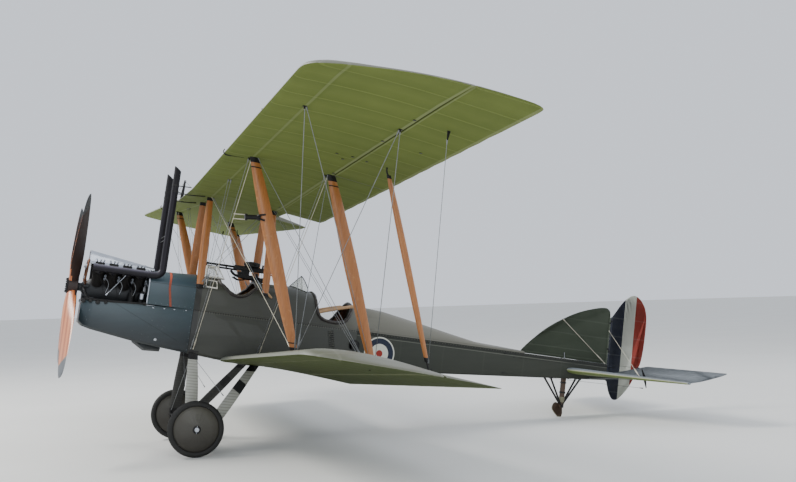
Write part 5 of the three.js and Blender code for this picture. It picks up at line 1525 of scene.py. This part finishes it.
# Cockpits: openings in the ply decking with padded leather rims, a bucket seat and cushion
# in each, boards with blank dials, a stick, and clear screens; tan hide lines the rear one.
hide, spot = material("tan_hide", "8a5c38", .5, Sheen_Weight=.1)
folds = mottle(spot, 14, 5, .65)
pores = spot.node("ShaderNodeTexVoronoi", {}, {"Vector": spot, "Scale": 260})
leather = mixed(folds, hue("452c1e"), hue("75503a"))
leather = mixed(step(mottle(spot, 30, 4, .7), .64, .05) * .4, leather, hue("96704f"))
dress(hide, {"Base Color": leather, "Roughness": .4 + folds * .25}, folds * .6 + pores * .3, .0015)
dark_hide, spot = material("dark_hide", "2c211d", .45, Sheen_Weight=.1)
folds = mottle(spot, 18, 5, .65)
pores = spot.node("ShaderNodeTexVoronoi", {}, {"Vector": spot, "Scale": 260})
leather = mixed(folds, hue("100d0c"), hue("2c221e"))
dress(dark_hide, {"Base Color": leather, "Roughness": .38 + folds * .25}, folds * .7 + pores * .3,
      .002)
inner_ply, spot = material("inner_ply", "6b4d2f", .6)
grain = mottle(spot, 30, 4, .6, (1, .06, 1))
dress(inner_ply, {"Base Color": mixed(grain, hue("4d371f"), hue("86623d")), "Roughness": .5
                  + grain * .2},
      grain, .0005)
for node_piece in ("cockpit_decking_skin", "cockpit_tub_skin"):
    shell = bpy.data.objects[node_piece].data
    shell.materials.append(inner_ply)
    shell.materials.append(hide)
    for face in shell.polygons:
        middle = TO_AIRFRAME @ face.center
        facing = TO_AIRFRAME.to_3x3() @ face.normal
        inward = facing.x * middle.x + facing.z * (middle.z - .45) < 0
        if inward and abs(facing.y) < .5:
            face.material_index = 2 if middle.y > 1.1 and "decking" in node_piece else 1

FRONT_CUT = [(-.11, 1.2), (-.096, .89), (-.04, .82), (.04, .752), (.14, .722), (.24, .752),
             (.32, .82), (.372, .89), (.392, 1.2)]
REAR_CUT = [(1.15, 1.2), (1.142, .85), (1.16, .70), (1.205, .612), (1.29, .566), (1.45, .556),
            (1.56, .596), (1.625, .70), (1.68, .86), (1.69, 1.2)]


def cut_edge(outline):
    """The rim of a cockpit opening, once round, from the crown in front down the port side."""
    edge = []
    for p in curve_through(outline, 12, even=True):
        half, shoulder, crown = (along(DECK, p.x, column) for column in (1, 2, 3))
        share = (p.y - shoulder) / (crown - shoulder)
        if share < .9:
            edge.append(Vector((half * (1 - max(share, 0) ** 2) ** .5, p.x, p.y)))
    front = [on_deck(edge[0].y, radians(angle)) for angle in (90, 84, 78, 71)]
    rear = [on_deck(edge[-1].y, radians(angle)) for angle in (71, 78, 84, 90)]
    edge = front + edge + rear
    spaced = [edge[0]]
    for p in edge[1:]:
        if (p - spaced[-1]).length > .018:
            spaced.append(p)
    spaced[-1] = edge[-1]
    return spaced + [Vector((-p.x, p.y, p.z)) for p in spaced[-2:0:-1]]


for name, outline in (("front_cockpit_rim", FRONT_CUT), ("rear_cockpit_rim", REAR_CUT)):
    bm = bmesh.new()
    path = cut_edge(outline)
    swell = [.0215 + .002 * sin(i * 1.7) for i in range(len(path))]
    tube(bm, path, swell, 14, looped=True)
    rim = fitted(name, bm, [dark_hide], edge=180)
    bm = bmesh.new()
    for i, p in enumerate(path):
        out = Vector((p.x, 0, p.z - .5)).normalized()
        q = path[(i + 1) % len(path)]
        for share in (.2, .7):
            spot = p.lerp(q, share) + out * .0218
            run = (q - p).normalized() * .004
            rod(bm, spot - run, spot + run, .0011, sides=5)
    fitted(name + "_stitches", bm, [cord])


def cushion(name, low, high, finish):
    """A crowned pad between two corners, blown up a little as cloth, with piping on its edge."""
    middle, half = (Vector(low) + Vector(high)) / 2, (Vector(high) - Vector(low)) / 2
    thin = min(range(3), key=lambda i: half[i])
    a, b = [i for i in range(3) if i != thin]
    bm = bmesh.new()
    block(bm, low, high)
    bmesh.ops.subdivide_edges(bm, edges=bm.edges, cuts=11, use_grid_fill=True)
    for v in bm.verts:
        u = [(v.co[i] - middle[i]) / half[i] for i in range(3)]
        crown = max((1 - u[a] ** 4) * (1 - u[b] ** 4), 0) ** .5
        v.co[thin] = middle[thin] + half[thin] * u[thin] * (.3 + .58 * crown)
        for i, j in ((a, b), (b, a)):
            pull = .985 - .05 * (1 - u[j] ** 2) - .05 * u[thin] ** 2
            v.co[i] = middle[i] + half[i] * u[i] * pull
    bmesh.ops.smooth_vert(bm, verts=bm.verts, factor=.4, use_axis_x=True, use_axis_y=True,
                          use_axis_z=True)
    pad = fitted(name, bm, [finish], edge=180)

    def settle():
        """Applies the pad's modifiers to its mesh."""
        current = bpy.context.evaluated_depsgraph_get()
        shape = bpy.data.meshes.new_from_object(pad.evaluated_get(current))
        pad.modifiers.clear()
        pad.data = shape

    remesh = pad.modifiers.new("remesh", "REMESH")
    remesh.mode, remesh.voxel_size, remesh.use_smooth_shade = "VOXEL", .006, True
    settle()
    before = [v.co.copy() for v in pad.data.vertices]
    cloth = pad.modifiers.new("cloth", "CLOTH").settings
    cloth.use_pressure, cloth.uniform_pressure_force, cloth.quality = True, 4, 5
    cloth.effector_weights.gravity = 0
    for number in range(1, 21):
        bpy.context.scene.frame_set(number)
    settle()
    for v, rest in zip(pad.data.vertices, before):
        move = v.co - rest
        v.co = rest + move * min(1, .007 / max(move.length, 1e-9))
    bpy.context.scene.frame_set(1)
    pad.data.shade_smooth()
    soft = pad.modifiers.new("soften", "SUBSURF")
    soft.levels = soft.render_levels = 1
    corners = []
    for across, along_it in ((-1, -1), (1, -1), (1, 1), (-1, 1)):
        corner = middle.copy()
        corner[a] += across * half[a] * .96
        corner[b] += along_it * half[b] * .96
        corners.append(corner)
    loop = []
    for start, end in zip(corners, corners[1:] + corners[:1]):
        inset = (middle - (start + end) / 2).normalized() * .007
        loop += [start.lerp(end, t) + inset * (1 - (2 * t - 1) ** 2)
                 for t in (.04, .28, .5, .72, .96)]
    bm = bmesh.new()
    tube(bm, loop, .0042, 8, looped=True)
    fitted(name + "_piping", bm, [dark_hide], edge=180)


for place, front_y in (("front", -.01), ("rear", 1.235)):
    bm = from_node(f"seat_{place}")
    soften(bm, .01, 40, 3)
    fitted(f"seat_bucket_{place}", bm, [inner_ply], stands_for=[f"seat_{place}"])
    cushion(f"seat_cushion_{place}", (-.18, front_y + .012, .244), (.18, front_y + .312, .306),
            hide)
    cushion(f"seat_back_pad_{place}", (-.17, front_y + .282, .33), (.17, front_y + .336, .55), hide)
    bm = bmesh.new()
    for side in (1, -1):
        for y in (front_y + .04, front_y + .33):
            rod(bm, (side * .17, y, -.06), (side * .17, y, .195), .011, sides=10)
        tube(bm, curve_through([(side * .12, front_y + .35, .50), (side * .11, front_y + .27, .42),
                                (side * .1, front_y + .2, .335), (side * .02, front_y + .14, .325)],
                               5),
             .012, 8, flat=.35)
    fitted(f"seat_frame_and_belt_{place}", bm, [black_iron])

dial_face = two_tone("dial_face", "141414", "101010", "232323", (40, 2), roughness=.25,
                     Coat_Weight=.8)
brass = two_tone("old_brass", "a98a4f", "7c6436", "bf9e5c", (25, 4), (90, 2), roughness=.35,
                 metallic=.9)
ivory = two_tone("ivory_paint", "e6e3da", "d6d3c8", "f0eee6", (20, 3), (60, 2), roughness=.5)
DIALS = [(-.17, .06, .05), (-.04, .075, .056), (.11, .055, .046), (.21, .085, .036),
         (-.1, -.05, .036), (.03, -.055, .034)]
for place, y, centre_z in (("front", -.118, .735), ("rear", 1.138, .70)):
    bm = bmesh.new()
    bends = (.35, .7, 1.05, 1.4, pi - 1.4, pi - 1.05, pi - .7, pi - .35)
    arch = [(-.325, -.11), (-.325, .06)]
    arch += [(-.325 * cos(a), .06 + .075 * sin(a)) for a in bends]
    arch += [(.325, .06), (.325, -.11)]
    plate(bm, [(x, y - .006, centre_z + z) for x, z in arch], .01)
    fitted(f"instrument_board_{place}", bm, [inner_ply])
    bm = bmesh.new()
    for x, z, radius in DIALS:
        rod(bm, (x, y, centre_z + z), (x, y + .016, centre_z + z), radius - .004, sides=28)
    fitted(f"dial_faces_{place}", bm, [dial_face])
    bm = bmesh.new()
    for x, z, radius in DIALS:
        ring = [(x + radius * cos(i * pi / 14), y + .015, centre_z + z + radius * sin(i * pi / 14))
                for i in range(28)]
        tube(bm, ring, .0042, 6, looped=True)
    for x in (-.26, .265):
        rod(bm, (x, y, centre_z - .04), (x, y + .03, centre_z - .04), .016, .012, 16)
    fitted(f"dial_rims_{place}", bm, [brass])
    bm = bmesh.new()
    for x, z, radius in DIALS:
        for i in range(12):
            a = i * pi / 6
            inner, outer = (Vector((x + reach * cos(a), y + .017, centre_z + z + reach * sin(a)))
                            for reach in (radius * .72, radius * .86))
            rod(bm, inner, outer, .0012, sides=4)
        rod(bm, (x, y + .018, centre_z + z),
            (x + radius * .5, y + .018, centre_z + z + radius * .45), .0014, sides=4)
    fitted(f"dial_marks_{place}", bm, [ivory])
bm = bmesh.new()
rod(bm, (0, 1.12, -.03), (0, 1.16, .50), .013, sides=12)
ring = [(.045 * cos(i * pi / 10), 1.163, .545 + .05 * sin(i * pi / 10)) for i in range(20)]
tube(bm, ring, .009, 8, looped=True)
rod(bm, (-.25, 1.0, .03), (.25, 1.0, .03), .014, sides=10)
rod(bm, (.27, 1.20, .40), (.27, 1.26, .52), .008, sides=8)
rod(bm, (.27, 1.18, .40), (.27, 1.42, .40), .010, sides=8)
fitted("stick_and_rudder_bar", bm, [black_iron])
bm = bmesh.new()
bmesh.ops.create_uvsphere(bm, u_segments=16, v_segments=10, radius=.016,
                          matrix=Matrix.Translation((.27, 1.262, .528)))
fitted("throttle_knob", bm, [dark_hide])
tan_hide, spot = material("pale_tan_hide", "b08a62", .55)
folds = mottle(spot, 16, 5, .65)
dress(tan_hide, {"Base Color": mixed(folds, hue("94704c"), hue("c6a179")), "Roughness": .48
                 + folds * .2}, folds, .001)
bm = bmesh.new()
for side in (1, -1):
    tube(bm, curve_through([(side * .345, 1.165, .64), (side * .30, 1.21, .665),
                            (side * .298, 1.44, .735), (side * .30, 1.65, .79),
                            (side * .29, 1.70, .79)], 5), .021, 12)
fitted("arm_rests", bm, [tan_hide])

celluloid, spot = material("celluloid", "dfe4de", .12, Coat_Weight=.3, Alpha=.28)
haze = mottle(spot, 9, 5)
dress(celluloid, {"Base Color": mixed(haze, hue("cfd6cf"), hue("eef0e8")), "Roughness": .08
                  + haze * .2,
                  "Alpha": .2 + haze * .22}, mottle(spot, 18, 2), .0006)


def screen_foot(t, out):
    """Where the rear screen stands on the decking, from -1 at starboard to 1 at port."""
    return on_deck(.85 + .2 * t * t, radians(90 - 30 * t), out)


def screen_hoop(t):
    """The bent tube along the rear screen's top, from -1 to 1 in the same way."""
    return Vector((.15 * t, .99 + .07 * abs(t), 1.107 - .157 * abs(t) ** 1.35))


bm = bmesh.new()
rows = []
for share in (0, .33, .66, 1):
    chain = []
    for i in range(17):
        base, hoop = screen_foot(i / 8 - 1, .002), screen_hoop(i / 8 - 1)
        chain.append(base.lerp(hoop, share))
    rows.append(chained(bm, chain, closed=False))
join_rings(bm, rows, capped=False)
bmesh.ops.remove_doubles(bm, verts=bm.verts, dist=1e-4)
thicken(bm, .0015)
fitted("rear_screen", bm, [celluloid], stands_for=["windscreen"], edge=60)
bm = bmesh.new()
hoop = [screen_hoop(i / 10 - 1) for i in range(21)]
tube(bm, [(-.155, 1.064, .90)] + hoop + [(.155, 1.064, .90)], .0055, 8)
tube(bm, [screen_foot(i / 8 - 1, .003) for i in range(17)], .0045, 6)
tube(bm, [screen_foot(0, .003), screen_hoop(0)], .0045, 6)
fitted("rear_screen_frame", bm, [black_iron])
SIDE_WINDOW = ((-.27, .21), (-.135, .21), (-.135, .75),
               (-.27, .75))  # place aft, angle round the arch
panes = [((-.14, -.26, .925), (.14, -.26, .925), (.13, -.258, 1.055), (-.13, -.258, 1.055)),
         ((.14, -.26, .925), (.155, -.03, .922), (.14, -.12, 1.055), (.13, -.258, 1.055)),
         ((-.155, -.03, .922), (-.14, -.26, .925), (-.13, -.258, 1.055), (-.14, -.12, 1.055))]
bm = bmesh.new()
for pane in panes:
    plate(bm, pane, .0015)
fitted("front_screen", bm, [celluloid])
bm = bmesh.new()
for pane in panes:
    tube(bm, pane, .0125, 8, looped=True)
for side in (1, -1):
    tube(bm, [(side * .14, -.27, .925), (side * .147, -.15, .926), (side * .155, -.03, .921)], .018,
         10, flat=.7)
    corners = [on_deck(y, angle, .002) for y, angle in SIDE_WINDOW]
    tube(bm, [(side * p.x, p.y, p.z) for p in corners], .009, 8, looped=True)
fitted("front_screen_frame", bm, [ivory])
# The side windows are dark glossy plates: painted shade inside the cockpit, seen through them.
bm = bmesh.new()
for side in (1, -1):
    corners = [on_deck(y, angle, .0015) for y, angle in SIDE_WINDOW]
    plate(bm, [(side * p.x, p.y, p.z) for p in corners], .001)
fitted("side_windows", bm, [dial_face])

# Gun on a pillar behind the front cockpit: barrel and gas tube, body with a flat
# drum on top, spade grip, and a heavy swinging bracket with a wooden-handled lever.
gun_iron, spot = material("blued_iron", "1a1c20", .38, .7)
rub = mottle(spot, 22, 5, .65)
dress(gun_iron, {"Base Color": mixed(rub ** 3, hue("121417"), hue("5a5853")), "Roughness": .28
                 + rub * .3},
      mottle(spot, 90, 2), .0003)
GUN_Z, PILLAR_Y = 1.105, .425
bm = bmesh.new()
rod(bm, (0, -.335, GUN_Z), (0, .14, GUN_Z), .0135, sides=16)
rod(bm, (0, -.345, GUN_Z), (0, -.30, GUN_Z), .02, .016, 16)
rod(bm, (0, -.25, GUN_Z - .034), (0, .14, GUN_Z - .034), .0115, sides=14)
for y in (-.25, -.12, 0, .1):
    block(bm, (-.012, y - .008, GUN_Z - .045), (.012, y + .008, GUN_Z + .014))
block(bm, (-.003, -.325, GUN_Z), (.003, -.30, GUN_Z + .04))
fitted("gun_barrel", bm, [gun_iron])
bm = bmesh.new()
block(bm, (-.026, .10, GUN_Z - .036), (.026, .56, GUN_Z + .026))
block(bm, (-.022, .15, GUN_Z - .08), (.022, .30, GUN_Z - .052))
block(bm, (-.018, .55, GUN_Z - .03), (.018, .60, GUN_Z + .018))
soften(bm, .006, 40, 3)
tube(bm, curve_through([(0, .59, GUN_Z + .010), (0, .612, GUN_Z + .018), (0, .624, GUN_Z - .005),
                        (0, .612, GUN_Z - .045), (0, .56, GUN_Z - .035)], 4), .008, 8)
rod(bm, (.028, .2, GUN_Z - .01), (.06, .2, GUN_Z - .01), .007, sides=8)
block(bm, (-.004, .46, GUN_Z + .02), (.004, .48, GUN_Z + .07))
fitted("gun_body", bm, [gun_iron], stands_for=["gun"])
bm = bmesh.new()
centre = Vector((0, .325, GUN_Z))
for low, high, radius, top in ((.028, .040, .094, .097), (.040, .074, .097, .097),
                               (.074, .084, .097, .088), (.084, .092, .045, .04)):
    rod(bm, centre + Vector((0, 0, low)), centre + Vector((0, 0, high)), radius, top, 40)
for i in range(24):
    a = i * pi / 12
    rib = Vector((.098 * cos(a), .098 * sin(a), .038))
    rod(bm, centre + rib, centre + rib + Vector((0, 0, .038)), .004, sides=6)
fitted("gun_drum", bm, [gun_iron])
bm = bmesh.new()
tube(bm, curve_through([(0, .06, GUN_Z - .05), (0, .12, GUN_Z - .10), (0, .25, GUN_Z - .125),
                        (0, .36, GUN_Z - .13), (0, PILLAR_Y, .95)], 5), [.016] * 10 + [.02] * 11,
     10)
tube(bm, curve_through([(0, .40, GUN_Z - .05), (0, .41, GUN_Z - .09), (0, PILLAR_Y, GUN_Z - .14)],
                       4), .017, 10)
rod(bm, (0, PILLAR_Y, .935), (0, PILLAR_Y, 1.01), .03, .026, 20)
block(bm, (-.034, .20, GUN_Z - .088), (.034, .30, GUN_Z - .036))
block(bm, (-.042, .155, GUN_Z - .128), (.042, .36, GUN_Z - .084))
block(bm, (-.03, .36, GUN_Z - .16), (.03, .50, GUN_Z - .10))
rod(bm, (0, PILLAR_Y, .938), (0, PILLAR_Y, .95), .058, .052, 24)
for side in (1, -1):
    tube(bm, curve_through([(0, .30, GUN_Z - .125), (side * .03, .18, GUN_Z - .16),
                            (side * .05, .10, GUN_Z - .13)],
                           5), .008, 8)
tube(bm, curve_through([(.03, .438, .985), (.16, .442, .992), (.30, .45, .97), (.36, .465, .90),
                        (.372, .487, .82)],
                       5), .009, 8)
rod(bm, (.02, PILLAR_Y, .975), (.05, .445, .99), .018, sides=12)
fitted("gun_mounting", bm, [black_iron])
bm = bmesh.new()
tube(bm, [(.374, .480, .823), (.375, .487, .816), (.3765, .52, .785), (.378, .548, .760),
          (.378, .554, .754)],
     [.008, .0125, .014, .0125, .006], 12)
fitted("lever_handle", bm, [tan_hide])
